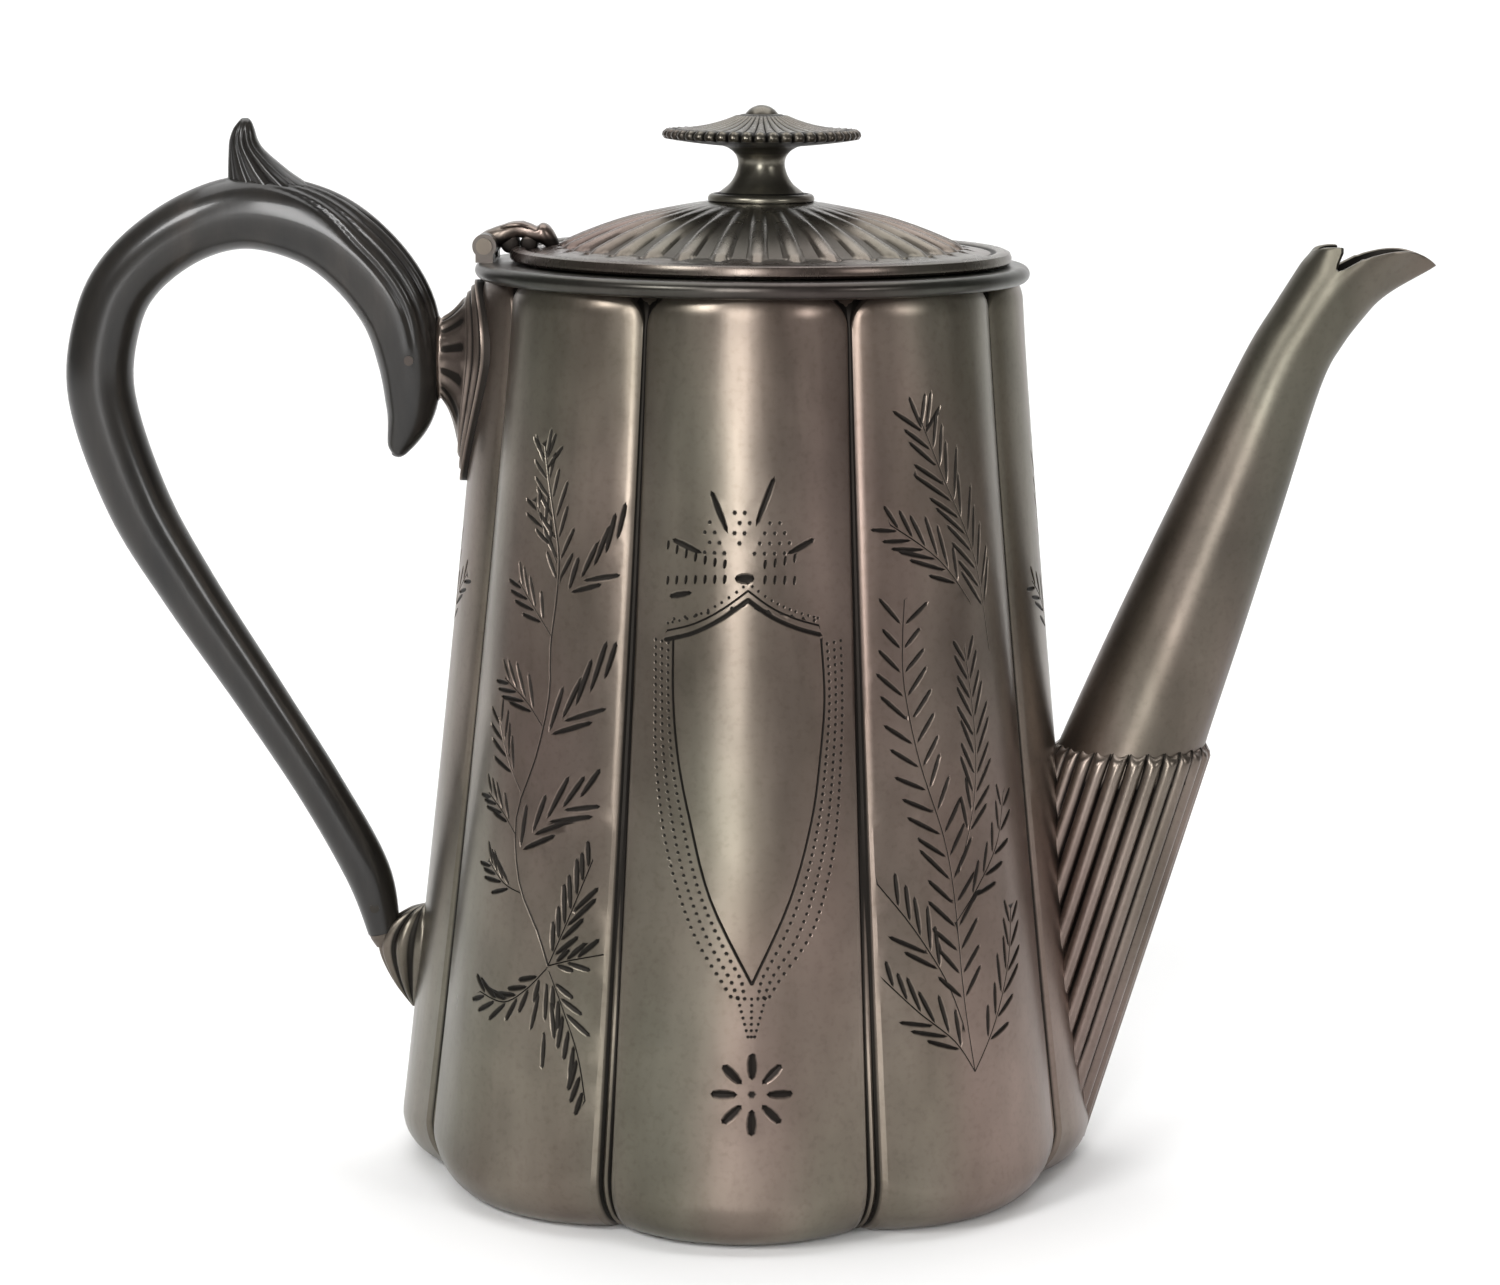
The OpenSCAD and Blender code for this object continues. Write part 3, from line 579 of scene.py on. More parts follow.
def right_spray_panel(seed=12):
    e = Engraving(seed)
    stem = [(-4, 29), (-5.3, 42), (-6, 60), (-7.5, 71), (-11.5, 85), (-13.5, 98), (-13.3, 106.5),
            (-12.5, 113.5)]
    e.spray(stem, 23, 5.4, angle=44)
    e.sprays((([(-4.5, 65), (0, 77), (1.2, 89), (-0.2, 104)], 14, 5.4),
               ([(7, 103), (4, 119), (-3, 134), (-7.6, 145)], 15, 6.4),
               ([(1.8, 112), (-5, 120), (-14.4, 126.7)], 8, 5.2)))
    e.spray([(-6, 38), (-9, 46), (-15, 56), (-21, 64)], 9, 5.2, first=0.3)
    e.spray([(-4, 29), (-8, 35), (-15, 41), (-21, 47)], 9, 5.0)
    e.spray([(-4, 29), (2, 37), (7, 47), (9, 56)], 8, 5.0)
    e.spray([(-6, 56), (0, 62), (6, 69), (9, 77)], 7, 4.4)
    for p, q in (((-7.2, 143), (-9.6, 149)), ((-7.4, 143.5), (-6.2, 149.5)), ((-6.8, 142), (-3, 147))):
        e.stroke(p, q)
    return e


def band_panel(seed):
    """The simple upright spray behind the spout and the handle."""
    e = Engraving(seed)
    e.spray([(0, 98), (1.5, 112), (-1, 127), (0.5, 142)], 14, 6.0)
    e.spray([(0, 98), (5, 106), (12, 112)], 6, 4.6)
    e.spray([(0, 98), (-5, 106), (-12, 112)], 6, 4.6)
    e.spray([(0, 20), (1, 30), (0, 40)], 5, 4.6)
    return e


def mirrored(e):
    """The engraving turned left to right."""
    def flip(p):
        return (-p[0], p[1])

    out = Engraving(0)
    out.strokes = [(flip(p), flip(q), w, d) for p, q, w, d in e.strokes]
    out.lines = [(path * (-1, 1), w, d) for path, w, d in e.lines]
    out.dots = [(flip(p), s, d) for p, s, d in e.dots]
    return out


# The engraving of each lobe, by the angle of its crest
PANELS = {0: band_panel(21), 45: mirrored(left_spray_panel(31)), 90: shield_panel(),
          135: left_spray_panel(33), 180: band_panel(25), 225: left_spray_panel(), 270: shield_panel(),
          315: right_spray_panel()}


def to_sheet(points):
    """Distances along the surface to the flat panel's coordinates."""
    p = np.asarray(points, float)
    return stack([p[:, 0] * SHEET_R / crest(p[:, 1]), p[:, 1]])


def spindle(p, q, width):
    """Outline and middle points of a leaf-shaped stroke, pointed at its root."""
    way = q - p
    side = np.array([-way[1], way[0]]) / max(norm(way), 1e-6)
    shares = np.array([0.0, 0.12, 0.35, 0.65, 0.9, 1.0])
    half = width / 2 * np.array([0.0, 0.62, 0.92, 1.0, 0.75, 0.0])
    middle = p + way * shares[:, None]
    return middle + side * half[:, None], middle - side * half[:, None], middle, half


STRAINER_R = 1.8
STRAINER_PITCH = 6.0
STRAINER_TOP = JOINT_Z - 8.5
HOLE_SIDES = 14


def strainer_holes():
    holes = []
    for row in range(7):
        for k in ((-1, 0, 1) if row % 2 == 0 else (-0.5, 0.5)):
            holes.append((k * STRAINER_PITCH, STRAINER_TOP - row * STRAINER_PITCH))
    return to_sheet(holes)


def round_hole(centre, r=STRAINER_R, sides=HOLE_SIDES):
    a = angles(sides)
    return centre + r * stack([cos(a), sin(a)])


def sheet_levels():
    """The panel grid's places across, and its heights, closer at the foot and the rim."""
    v = np.concatenate([np.linspace(0, 12, 15), np.arange(15, BODY_H - 7, 3.0),
                        BODY_H - np.array([7, 5.6, 4.4, 3.4, 2.6, 1.9, 1.2, 0.6, 0])])
    u = np.linspace(-HALF_U, HALF_U, 19)[1:-1]
    return u, v


def panel_mesh(angle, engraving, inset, holes):
    """One lobe's skin as points, triangles and darkness (dirt in the engraved strokes, painted shade in the
    channels), cut along its engraved strokes.
    """
    us, vs = sheet_levels()
    points = []
    edges = []

    def path(line):
        first = len(points)
        points.extend([tuple(p) for p in line])
        edges.extend((first + i, first + i + 1) for i in range(len(line) - 1))

    limit = HALF_U - 1.0
    for side in (-1, 1):
        for share in (0.0,) if inset else (0.0, 0.22, 0.5, 0.85, 1.02, 1.6):
            e = channel_width(vs) * share * SHEET_R / crest(vs)
            path(stack([side * (HALF_U - e), vs]))
    clear = channel_width(vs) * 1.9 * SHEET_R / crest(vs)
    for i, v in enumerate(vs):
        points.extend((u, v) for u in us if abs(u) < HALF_U - clear[i] - 0.4)
    segments = []
    if engraving and not inset:
        for p, q, width, depth in engraving.strokes:
            ends = to_sheet([p, q])
            if np.abs(ends[:, 0]).max() > limit - channel_width(ends[:, 1]).max() - 0.5:
                continue
            left, right, middle, half = spindle(ends[0], ends[1], width)
            path(left)
            path(right[1:-1])
            path(middle[1:-1])
            for i in range(len(middle) - 1):
                segments.append((middle[i], middle[i + 1], half[i], half[i + 1], depth))
        for line, width, depth in engraving.lines:
            line = to_sheet(line)
            way = np.gradient(line, axis=0)
            normal = stack([-way[:, 1], way[:, 0]])
            normal /= np.maximum(norm(normal, axis=1), 1e-6)[:, None]
            for shift in (-width / 2, 0, width / 2):
                path(line + normal * shift)
            for i in range(len(line) - 1):
                segments.append((line[i], line[i + 1], width / 2, width / 2, depth))
        for p, size, depth in engraving.dots:
            centre = to_sheet([p])[0]
            if abs(centre[0]) > limit - 1:
                continue
            path(round_hole(centre, size, 6))
            points.append(tuple(centre))
            segments.append((centre, centre + (0.01, 0), size, size, depth))
    for hole in holes:
        first = len(points)
        points.extend([tuple(p) for p in round_hole(hole)])
        edges.extend((first + i, first + (i + 1) % HOLE_SIDES) for i in range(HOLE_SIDES))
    made = geometry.delaunay_2d_cdt([Vector(p) for p in points], edges, [], 0, 1e-5)
    flat = np.array([tuple(v) for v in made[0]])
    triangles = [tuple(f) for f in made[2]]
    if len(holes):
        centres = np.array([flat[list(t)].mean(axis=0) for t in triangles])
        inside = np.zeros(len(triangles), bool)
        for hole in holes:
            inside |= norm(centres - hole, axis=1) < STRAINER_R * 0.98
        triangles = [t for t, gone in zip(triangles, inside) if not gone]
    u, v = flat[:, 0], flat[:, 1]
    depth = np.zeros(len(flat))
    cut = np.zeros(len(flat))
    for p, q, wp, wq, deep in segments:
        reach = max(wp, wq)
        near = np.nonzero((u > min(p[0], q[0]) - reach) & (u < max(p[0], q[0]) + reach)
                          & (v > min(p[1], q[1]) - reach) & (v < max(p[1], q[1]) + reach))[0]
        if not len(near):
            continue
        way = q - p
        t = ((flat[near] - p) @ way) / max(way @ way, 1e-9)
        if way @ way > 0.01:
            near, t = near[(t > -0.02) & (t < 1.02)], t[(t > -0.02) & (t < 1.02)]
        t = unit(t)
        away = norm(flat[near] - p - t[:, None] * way, axis=1)
        half = np.maximum(wp + (wq - wp) * t, 1e-4)
        share = unit(1 - away / half)
        full = np.minimum(1, half / reach * 1.3)
        depth[near] = np.maximum(depth[near], deep * share * full)
        cut[near] = np.maximum(cut[near], share * full)
    groove, dark = channel(u, v)
    if inset:
        place = surface(u, v, angle, inset + 0 * u)
    else:
        place = surface(u, v, angle, depth + groove)
    return place, triangles, np.maximum(np.minimum(cut * 1.3, 1), dark) * (0 if inset else 1), flat


def body_mesh():
    verts, faces, cut = [], [], []
    total = 0

    def take(points, tris, dark):
        nonlocal total
        verts.append(np.asarray(points, float))
        cut.append(np.asarray(dark, float))
        faces.extend(tuple(i + total for i in t) for t in tris)
        total += len(points)

    holes = strainer_holes()
    for degrees, engraving in PANELS.items():
        angle = math.radians(degrees)
        here = holes if degrees == 0 else []
        place, tris, dark, flat = panel_mesh(angle, engraving, 0.0, here)
        take(place, tris, dark)
        inner, inner_tris, inner_dark, inner_flat = panel_mesh(angle, None, WALL, here)
        take(inner, inner_tris, inner_dark)
        for level in (BODY_H, 0.0):
            rows = []
            for skin, sheet in ((place, flat), (inner, inner_flat)):
                row = np.nonzero(np.abs(sheet[:, 1] - level) < 1e-4)[0]
                row = row[np.argsort(sheet[row, 0])]
                rows.append(skin[row])
            if level:
                strip(take, rows[0], rows[1])
            else:
                lips = []
                for row, z in ((rows[0], 0.0), (rows[1], WALL)):
                    a = np.linspace(angle - HALF_LOBE, angle + HALF_LOBE, 13)
                    lip = around(a, FLOOR_R, z)
                    strip(take, row, lip)
                    lips.append(lip)
                strip(take, lips[0], lips[1])
        for hole in holes if degrees == 0 else []:
            ring = round_hole(hole)
            outside = surface(ring[:, 0], ring[:, 1], angle, channel(ring[:, 0], ring[:, 1])[0])
            inside = surface(ring[:, 0], ring[:, 1], angle, WALL + 0 * ring[:, 0])
            # The hole walls are half dark: painted shade inside the holes.
            take(np.vstack([outside, inside]), band(HOLE_SIDES, 0, 1), np.full(2 * HOLE_SIDES, 0.5))
    return (np.vstack(verts), faces), cut


def strip(take, a, b):
    """Triangles between two open rows of points that may differ in number."""
    i = j = 0
    tris = []
    while i < len(a) - 1 or j < len(b) - 1:
        s = (i + 1) / (len(a) - 1) if i < len(a) - 1 else 9
        t = (j + 1) / (len(b) - 1) if j < len(b) - 1 else 9
        if s <= t:
            tris.append((i, i + 1, len(a) + j))
            i += 1
        else:
            tris.append((i, len(a) + j + 1, len(a) + j))
            j += 1
    take(np.vstack([a, b]), tris, np.zeros(len(a) + len(b)))


body_skin, body_dark = body_mesh()
make("engraved_body", body_skin, "pot", SHEET, ["body_shell"], 15, body_dark)


# ---- spout
def lobe_cutter():
    """Solid that fills the spout's lobe to the middle of the sheet wall."""
    phi = np.linspace(-HALF_LOBE, HALF_LOBE, 25)
    rings = []
    for z in np.linspace(-6, JOINT_Z + 40, 30):
        r = lobe_radius(phi, max(z, 9.0)) - 0.7
        if z < 9:
            r = r - 9 + math.sqrt(max(81 - (9 - max(z, 0)) ** 2, 0))
        arc = around(phi, r, z)
        back = np.array([[20, 6, z], [20, -6, z]])
        rings.append(np.vstack([arc, back]))
    return loft(rings)


def carve(piece, cutter_name):
    """Takes the lobe out of the piece, and keeps the result as plain mesh."""
    points, polygons = lobe_cutter()
    mesh = bpy.data.meshes.new(cutter_name)
    mesh.from_pydata((points * MM).tolist(), [], polygons)
    tidy(mesh, False)
    cutter = link(cutter_name, mesh)
    modifier = piece.modifiers.new("lobe", "BOOLEAN")
    modifier.operation = "DIFFERENCE"
    modifier.solver = "EXACT"
    modifier.object = cutter
    graph = bpy.context.evaluated_depsgraph_get()
    done = bpy.data.meshes.new_from_object(piece.evaluated_get(graph))
    piece.modifiers.clear()
    old = piece.data
    done.name = old.name + "_cut"
    piece.data = done
    bpy.data.meshes.remove(old)
    bpy.data.objects.remove(cutter)
    bpy.data.meshes.remove(mesh)
    done.set_sharp_from_angle(angle=math.radians(38))


REEDS = 26
BASE_TOP_X = JOINT_X + 0.4
BASE_DROP = 76
BORE_R = 11.6


def leaning_ring(r, down):
    """Ring of radius r about the spout's leaning axis, level, and down below the joint."""
    a = angles(REEDS * 8)
    along = (-down + r * cos(a) * sin(LEAN)) / cos(LEAN)
    x = BASE_TOP_X + r * cos(a) * cos(LEAN) + along * sin(LEAN)
    return stack([x, r * sin(a), JOINT_Z - down + 0 * a])


def spout_base():
    """Reeds that fade out at the top lip, over a plain bore."""
    reed = (1 - ribs(angles(REEDS * 8), REEDS) ** 2) ** 0.8
    shade_of_valley = unit((0.62 - reed) * 1.3)
    rings, dark = [], []
    for drop, out in ((0.0, 0.0), (0.3, 0.45), (0.9, 0.8), (1.8, 1.0), (4, 1.0), (10, 1.0), (20, 1.0),
                      (30, 1.0), (42, 1.0), (54, 1.0), (66, 1.0), (BASE_DROP, 1.0)):
        r = BASE_R - 1.5 - (1 - out) * 0.8 + reed * 1.45 * (0.25 + 0.75 * out)
        rings.append(leaning_ring(r, drop + 1.3 * (reed - 1) * (drop < 3)))
        dark.append(shade_of_valley)
    rings += [leaning_ring(BORE_R, BASE_DROP), leaning_ring(BORE_R, 0.8)]
    # The bore is darker: painted shade inside.
    dark += [0 * reed + 0.6] * 2
    piece = make("reeded_spout_base", loft(rings, closed=True), "pot", CAST,
                 ["spout_base"], 38, dark)
    carve(piece, "base_cutter")


spout_base()

# Each ring of the tube: its inner and outer point from the joint, and its half width.
SPOUT_RINGS = [(-15.2, -6, 13.2, -6, 13.4), (-13.4, 0, 13.9, 0, 13.0), (-3, 24.5, 20.5, 22.4, 11.1),
               (8, 49, 27, 45, 9.2), (19, 73, 33.4, 67.5, 7.4), (24.6, 82.8, 37.3, 75.5, 7.2),
               (28.9, 89.9, 42, 81.8, 7.0)]
# The mouth's edge without its two notches: share of the way from back to tip, height above the joint
MOUTH = [(0.0, 92.3), (0.06, 93.0), (0.18, 93.2), (0.27, 92.7), (0.36, 91.1), (0.46, 91.7), (0.60, 92.4),
         (0.74, 92.6), (0.86, 92.0), (0.95, 90.9), (1.0, 90.0)]
NOTCH_TURN, NOTCH_HALF, NOTCH_DEEP = 71.0, 9.0, 0.62
MOUTH_BACK, MOUTH_TIP, MOUTH_HALF = 30.9, 53.9, 6.4
TUBE_SIDES = 120
TUBE_WALL = 1.2


def tube_ring(row, inset):
    inner, outer, half = np.array(row[0:2]), np.array(row[2:4]), row[4]
    middle, reach = (inner + outer) / 2, (outer - inner) / 2
    size = norm(reach)
    a = angles(TUBE_SIDES)
    x = middle[0] - reach[0] * cos(a) * (size - inset) / size
    z = middle[1] - reach[1] * cos(a) * (size - inset) / size
    return stack([JOINT_X + x, (half - inset) * sin(a), JOINT_Z + z])


def mouth_ring(inset, lift=0.0):
    a = angles(TUBE_SIDES)
    share = ((1 - cos(a)) / 2) ** 1.15
    edge = spline(MOUTH, 4)
    x = MOUTH_BACK + inset + share * (MOUTH_TIP - MOUTH_BACK - 2 * inset)
    narrow = 1 - 0.55 * smooth((share - 0.55) / 0.45) ** 1.5
    y = (MOUTH_HALF * narrow - inset * (1 - 0.6 * smooth((share - 0.7) / 0.3))) * sin(a)
    z = np.interp(share, edge[:, 0], edge[:, 1]) + lift
    return stack([JOINT_X + x, y, JOINT_Z + z])


def notch():
    """How much of the way up to the mouth is cut off, round the tube."""
    off = np.abs(turned(angles(TUBE_SIDES)) - NOTCH_TURN)
    return NOTCH_DEEP * unit(1 - (off / NOTCH_HALF) ** 2.2)


def beak(last, before, mouth, t):
    """Ring at share t of the way from the last plain ring to the mouth, smooth at its start."""
    t = (t * (1 - notch()))[:, None]
    way = mouth - last
    start = last - before
    start *= (norm(way, axis=1) / np.maximum(norm(start, axis=1), 1e-6))[:, None]
    return (last * (2 * t ** 3 - 3 * t ** 2 + 1) + start * (t ** 3 - 2 * t ** 2 + t)
            + mouth * (3 * t ** 2 - 2 * t ** 3) + 0.9 * way * (t ** 3 - t ** 2))


def tube_skin(inset, lift=0.0):
    rings = [tube_ring(r, inset) for r in spline(SPOUT_RINGS, 7)]
    last, before = rings[-1], rings[-3]
    mouth = mouth_ring(inset, lift)
    return rings + [beak(last, before, mouth, k / 14) for k in range(1, 15)]


def spout_tube():
    outer = tube_skin(0.0)
    inner = tube_skin(TUBE_WALL)
    lip = [tube_skin(0.15, 0.2)[-1], tube_skin(0.6, 0.3)[-1], tube_skin(1.05, 0.18)[-1]]
    a = angles(TUBE_SIDES)
    rings = []
    for k, ring in enumerate(outer):
        veins = max(0, k - len(outer) + 12) / 12
        rings.append(ring + stack([0 * a, 0.16 * veins * cos(9 * a) * sin(a), 0 * a]))
    rings += lip + inner[::-1]
    shades = [0.55 * (1 - min(k, 9) / 9) ** 2 for k in range(len(outer))]
    shades += [0.0] * len(lip) + [0.7] * len(inner)
    piece = make("spout_tube_beak", loft(rings, closed=True), "pot", TUBE,
                 ["spout_tube"], 45, [0 * a + depth for depth in shades])
    carve(piece, "tube_cutter")


spout_tube()

# ---- lid
FLUTES = 34
FLUTE_SPREAD = 0.75  # how much the dark furrows between the flutes widen towards the brim


def dome_height(r):
    return DOME_Z + DOME_RISE - SPHERE_R + np.sqrt(SPHERE_R ** 2 - np.asarray(r, float) ** 2)


def lid():
    n = FLUTES * 16
    a = angles(n)
    across = ribs(a, FLUTES)
    rings, dark = [], []
    for r in np.concatenate([[SCREW_HOLE_R, 6, 9.4], np.linspace(10.4, DOME_R - 3, 16),
                             np.linspace(DOME_R - 2.7, DOME_R + 1.4, 16)]):
        arch = unit(1 - (across * (1.0 + FLUTE_SPREAD * r / DOME_R)) ** 2) ** 0.75
        end = DOME_R + 0.7 - 3.2 * (1 - arch)
        inside = unit((end - r) / 2.4)
        start = smooth((r - 10.2) / 15) ** 0.8
        height = dome_height(min(r, DOME_R)) - 0.15 + 0 * a
        brim = BRIM_Z + 0.75 - 0.25 * max(r - DOME_R, 0)
        height = np.where(inside > 0, np.maximum(height, brim), brim)
        bulge = start * arch * np.sqrt(inside)
        valley = start * (1 - arch)
        deep = 1.15 * min(1, r / DOME_R + 0.1)
        place = height - deep * start * (1 - bulge) * (inside > 0) + 0.1 * bulge
        place = np.maximum(place, BRIM_Z + 0.1)
        rings.append(around(a, r, place, LID_X))
        # Painted shade in the furrows between the flutes, and a painted shadow crescent just beyond each
        # flute's rounded end.
        edge = unit(1 - np.abs(r - end - 0.5) / 0.9) if r > DOME_R - 4 else 0 * a
        furrow = (valley - 0.5) * 0.5 * (inside > 0) * smooth((r - 14) / 12)
        dark.append(unit(np.maximum(furrow, edge * 0.35)))
    brim = [(DOME_R + 2.4, BRIM_Z + 0.35), (FLANGE_R - 4.2, BRIM_Z + 0.05),
            (FLANGE_R - 3.4, BRIM_Z - 0.2), (FLANGE_R - 2.7, BRIM_Z + 0.3),
            (FLANGE_R - 1.3, BRIM_Z + 0.5), (FLANGE_R - 0.4, BRIM_Z + 0.1),
            (FLANGE_R - 0.05, BRIM_Z - 0.7), (FLANGE_R - 0.1, FLANGE_Z + 0.5),
            (FLANGE_R - 0.6, FLANGE_Z + 0.05), (39.6, FLANGE_Z), (39.0, FLANGE_Z + 0.4)]
    under = [(r, float(dome_height(min(r, DOME_R))) - 1.5) for r in np.linspace(DOME_R - 1, 9, 10)]
    under.append((SCREW_HOLE_R, LID_TOP - 1.4))
    for r, z in brim + under:
        rings.append(around(a, r, z, LID_X))
        # Painted shade in the brim's groove.
        dark.append(np.full(n, 0.8 if abs(r - FLANGE_R + 3.4) < 0.1 else 0.0))
    make("fluted_lid", loft(rings, closed=True), "lid", LID, ["lid_dome"], 40, dark)


lid()


STEM_SIDES = 96


def finial_stem():
    h = STEM_HI[2] - STEM_LO[2]
    z = STEM_LO[2]
    shape = [(9.75, z), (9.8, z + 0.5), (9.5, z + 1.05), (8.9, z + 1.3), (8.4, z + 1.15), (8.15, z + 1.05),
             (7.9, z + 1.4), (7.0, z + 2.1), (5.9, z + 3.0), (5.0, z + 4.3), (4.45, z + 5.7), (4.3, z + 6.8),
             (4.55, z + 8.0), (5.3, z + 9.0), (6.4, z + 9.7), (7.4, z + h)]
    profile = spline(shape, 3)
    outline = [(SCREW_HOLE_R, z)] + [tuple(p) for p in profile] + [(SCREW_HOLE_R, z + h)]
    rings = lathe_rings(outline, STEM_SIDES, LID_X)
    dark = []
    for ring in rings:
        r = norm(ring[0, :2] - (LID_X, 0))
        low = ring[0, 2] - z
        # Painted shade: dark in the notch above the foot, a little darker at the top under the cap.
        dark.append(np.full(STEM_SIDES, 0.9 if 7.7 < r < 8.6 and low > 0.8 else 0.25 * (low > 8.5)))
    make("finial_stem_turned", loft(rings, closed=True), "lid", CAST,
         ["finial_stem"], 50, dark)


finial_stem()
BEADS = 46


def finial_cap():
    n = BEADS * 10
    a = angles(n)
    arch = np.sqrt(unit(1 - ribs(a, BEADS) ** 2))
    z0, top = CAP_LO[2], CAP_HI[2]
    rim_r = CAP_HI[1]
    rings, dark = [], []

    def ring(r, z, wave, lift, shade):
        radius = r + wave * (arch - 1)
        rings.append(around(a, radius, z + lift * (arch - 1), LID_X))
        dark.append(unit(shade + (wave > 0.2) * (1 - arch) * 0.9) + 0 * a)

    ring(SCREW_HOLE_R, z0, 0, 0, 0.2)
    for share, drop in ((0.40, 0.0), (0.55, 0.25), (0.72, 0.6), (0.88, 1.0)):
        ring(rim_r * share, z0 + drop, 0, 0, 0.45)
    ring(rim_r - 1.3, z0 + 1.15, 0.2, 0, 0.4)
    ring(rim_r - 0.4, z0 + 1.3, 0.9, 0, 0.1)
    ring(rim_r, z0 + 1.9, 1.0, 0, 0)
    ring(rim_r - 0.15, z0 + 2.5, 1.0, 0.4, 0)
    ring(rim_r - 0.8, z0 + 3.05, 0.9, 0.7, 0)
    ring(rim_r - 1.9, z0 + 2.95, 0.5, 0.5, 0.25)
    ring(rim_r - 2.4, z0 + 3.0, 0.3, 0.3, 0.5)
    for share in np.linspace(0.82, 0.26, 12):
        inward = (0.88 - share) / 0.62
        z = z0 + 3.0 + (top - z0 - 3.3) * (0.35 * inward + 0.65 * inward ** 2.6)
        fine = 0.5 * min(1, share * 1.6)
        ring(rim_r * share, z, 0.0, fine, 0.0)
        dark[-1] = unit((1 - arch - 0.3) * 1.2) * min(1, share * 1.5)
    ring(4.2, top - 0.3, 0, 0, 0.5)
    ring(3.6, top - 0.05, 0, 0, 0.2)
    ring(SCREW_HOLE_R, top, 0, 0, 0.2)
    make("finial_cap_fluted", loft(rings, closed=True), "lid", LID, ["finial_cap"],
         42, dark)


finial_cap()

# ---- hinge strap
HINGE_X = frame["joints"][0]["pos_m"][0] / MM
HINGE_Z = frame["joints"][0]["pos_m"][2] / MM


def rounded_section(centre, half_y, low, high, n=24, power=2.6):
    """Upright rounded ring across the pot at centre's x, from low to high."""
    a = angles(n)
    y = half_y * np.sign(cos(a)) * np.abs(cos(a)) ** (2 / power)
    z = (low + high) / 2 + (high - low) / 2 * np.sign(sin(a)) * np.abs(sin(a)) ** (2 / power)
    return stack([np.full(n, centre), y, z])


def joined(parts):
    """Several skins as one list of points and faces."""
    points, polygons = [], []
    for p, f in parts:
        start = sum(len(q) for q in points)
        points.append(np.asarray(p, float))
        polygons.extend(tuple(i + start for i in face) for face in f)
    return np.vstack(points), polygons


def roller(x, z, r, half, n=28):
    """Small roll along Y with rounded ends."""
    a = angles(n)
    rings = []
    for y, share in ((-half, 0.0), (-half, 0.7), (-half + 0.25, 0.93), (-half + 0.7, 1.0),
                     (half - 0.7, 1.0), (half - 0.25, 0.93), (half, 0.7), (half, 0.0)):
        size = max(r * share, 0.05)
        rings.append(stack([x + size * cos(a), np.full(n, y), z + size * sin(a)]))
    return loft(rings)


def hinge_strap():
    run = LID_X - DOME_R - HINGE_X
    # Share of the way over, top and bottom height over the axis, half width
    stations = [(-0.17, 1.2, -0.4, 1.9), (-0.08, 2.0, -1.2, 2.4), (0.05, 2.8, -1.2, 2.8),
                (0.18, 3.4, -0.7, 3.1), (0.32, 3.9, 0.3, 2.9), (0.45, 4.15, 1.1, 2.6),
                (0.56, 4.1, 1.0, 2.5), (0.66, 3.7, 0.5, 2.6), (0.73, 3.35, 0.3, 2.8),
                (0.80, 3.9, 0.1, 2.9), (0.87, 3.8, -0.5, 2.8), (0.94, 3.1, -1.1, 2.4),
                (1.0, 2.0, -1.6, 1.9), (1.05, 0.6, -2.0, 1.3)]
    path = spline(stations, 4)
    rings = [rounded_section(HINGE_X + s * run, w, HINGE_Z + low, HINGE_Z + high)
             for s, high, low, w in path]
    parts = [loft(rings)]
    for s, low, r in ((0.34, 0.1, 1.75), (0.62, 0.2, 1.6)):
        parts.append(roller(HINGE_X + s * run, HINGE_Z + low, r, 2.3))
    parts.append(roller(HINGE_X, HINGE_Z, 2.15, 2.8))
    for side in (-1, 1):
        leaf = []
        for s, high, half in ((0.2, 3.0, 0.3), (0.3, 3.5, 0.8), (0.4, 3.75, 1.0), (0.52, 3.8, 0.9),
                              (0.62, 3.3, 0.35)):
            top = HINGE_Z + high
            ring = rounded_section(HINGE_X + s * run, half, top - 0.6, top + 0.35, 12)
            leaf.append(ring + (0, side * 2.2, 0))
        parts.append(loft(leaf))
    skin = joined(parts)
    # Painted shade: darker towards the bottom, under the strap's arch and rollers.
    dark = np.clip((HINGE_Z + 2.2 - skin[0][:, 2]) / 3, 0, 0.8)
    make("hinge_strap_cast", skin, "lid", CAST, ["hinge_lid_leaf"], 45, [dark])


hinge_strap()


# ---- handle
# Height over the lower end, reach out from the lobe, half thickness
HANDLE = [(0, 6.8, 3.1), (11.5, 11, 4.3), (27.5, 21.3, 4.4), (45.5, 34.5, 4.7), (65, 49.2, 5.3),
          (82, 60.5, 5.9),
          (101.5, 68.7, 6.2), (115.7, 68.7, 6.1), (125, 64.5, 6), (132.6, 55.2, 6.2), (135.8, 44.3, 6.8),
          (133.4, 32, 7.3), (127.2, 22.5, 7.4), (118.4, 15.2, 7.1), (108.5, 11.9, 6), (99.5, 11, 4.6),
          (92.6, 12.6, 2.2), (90.9, 13.3, 0.5)]
CAD_LEAN = (FOOT_R - RIM_R) / BODY_H
VEINS = (16, 36, 56, 76)  # degrees round the bar
VEIN_DEEP = 0.5


def straight_crest(z):
    """X of the handle lobe's crest at height z, taken as a straight line."""
    return -(FOOT_R - CAD_LEAN * z)


def handle_at(h, reach):
    """Place beside the handle's lobe: h above the lower socket, reach out from its straight crest."""
    z = HANDLE_LOW_Z + h
    return np.array([straight_crest(z) - reach, z])


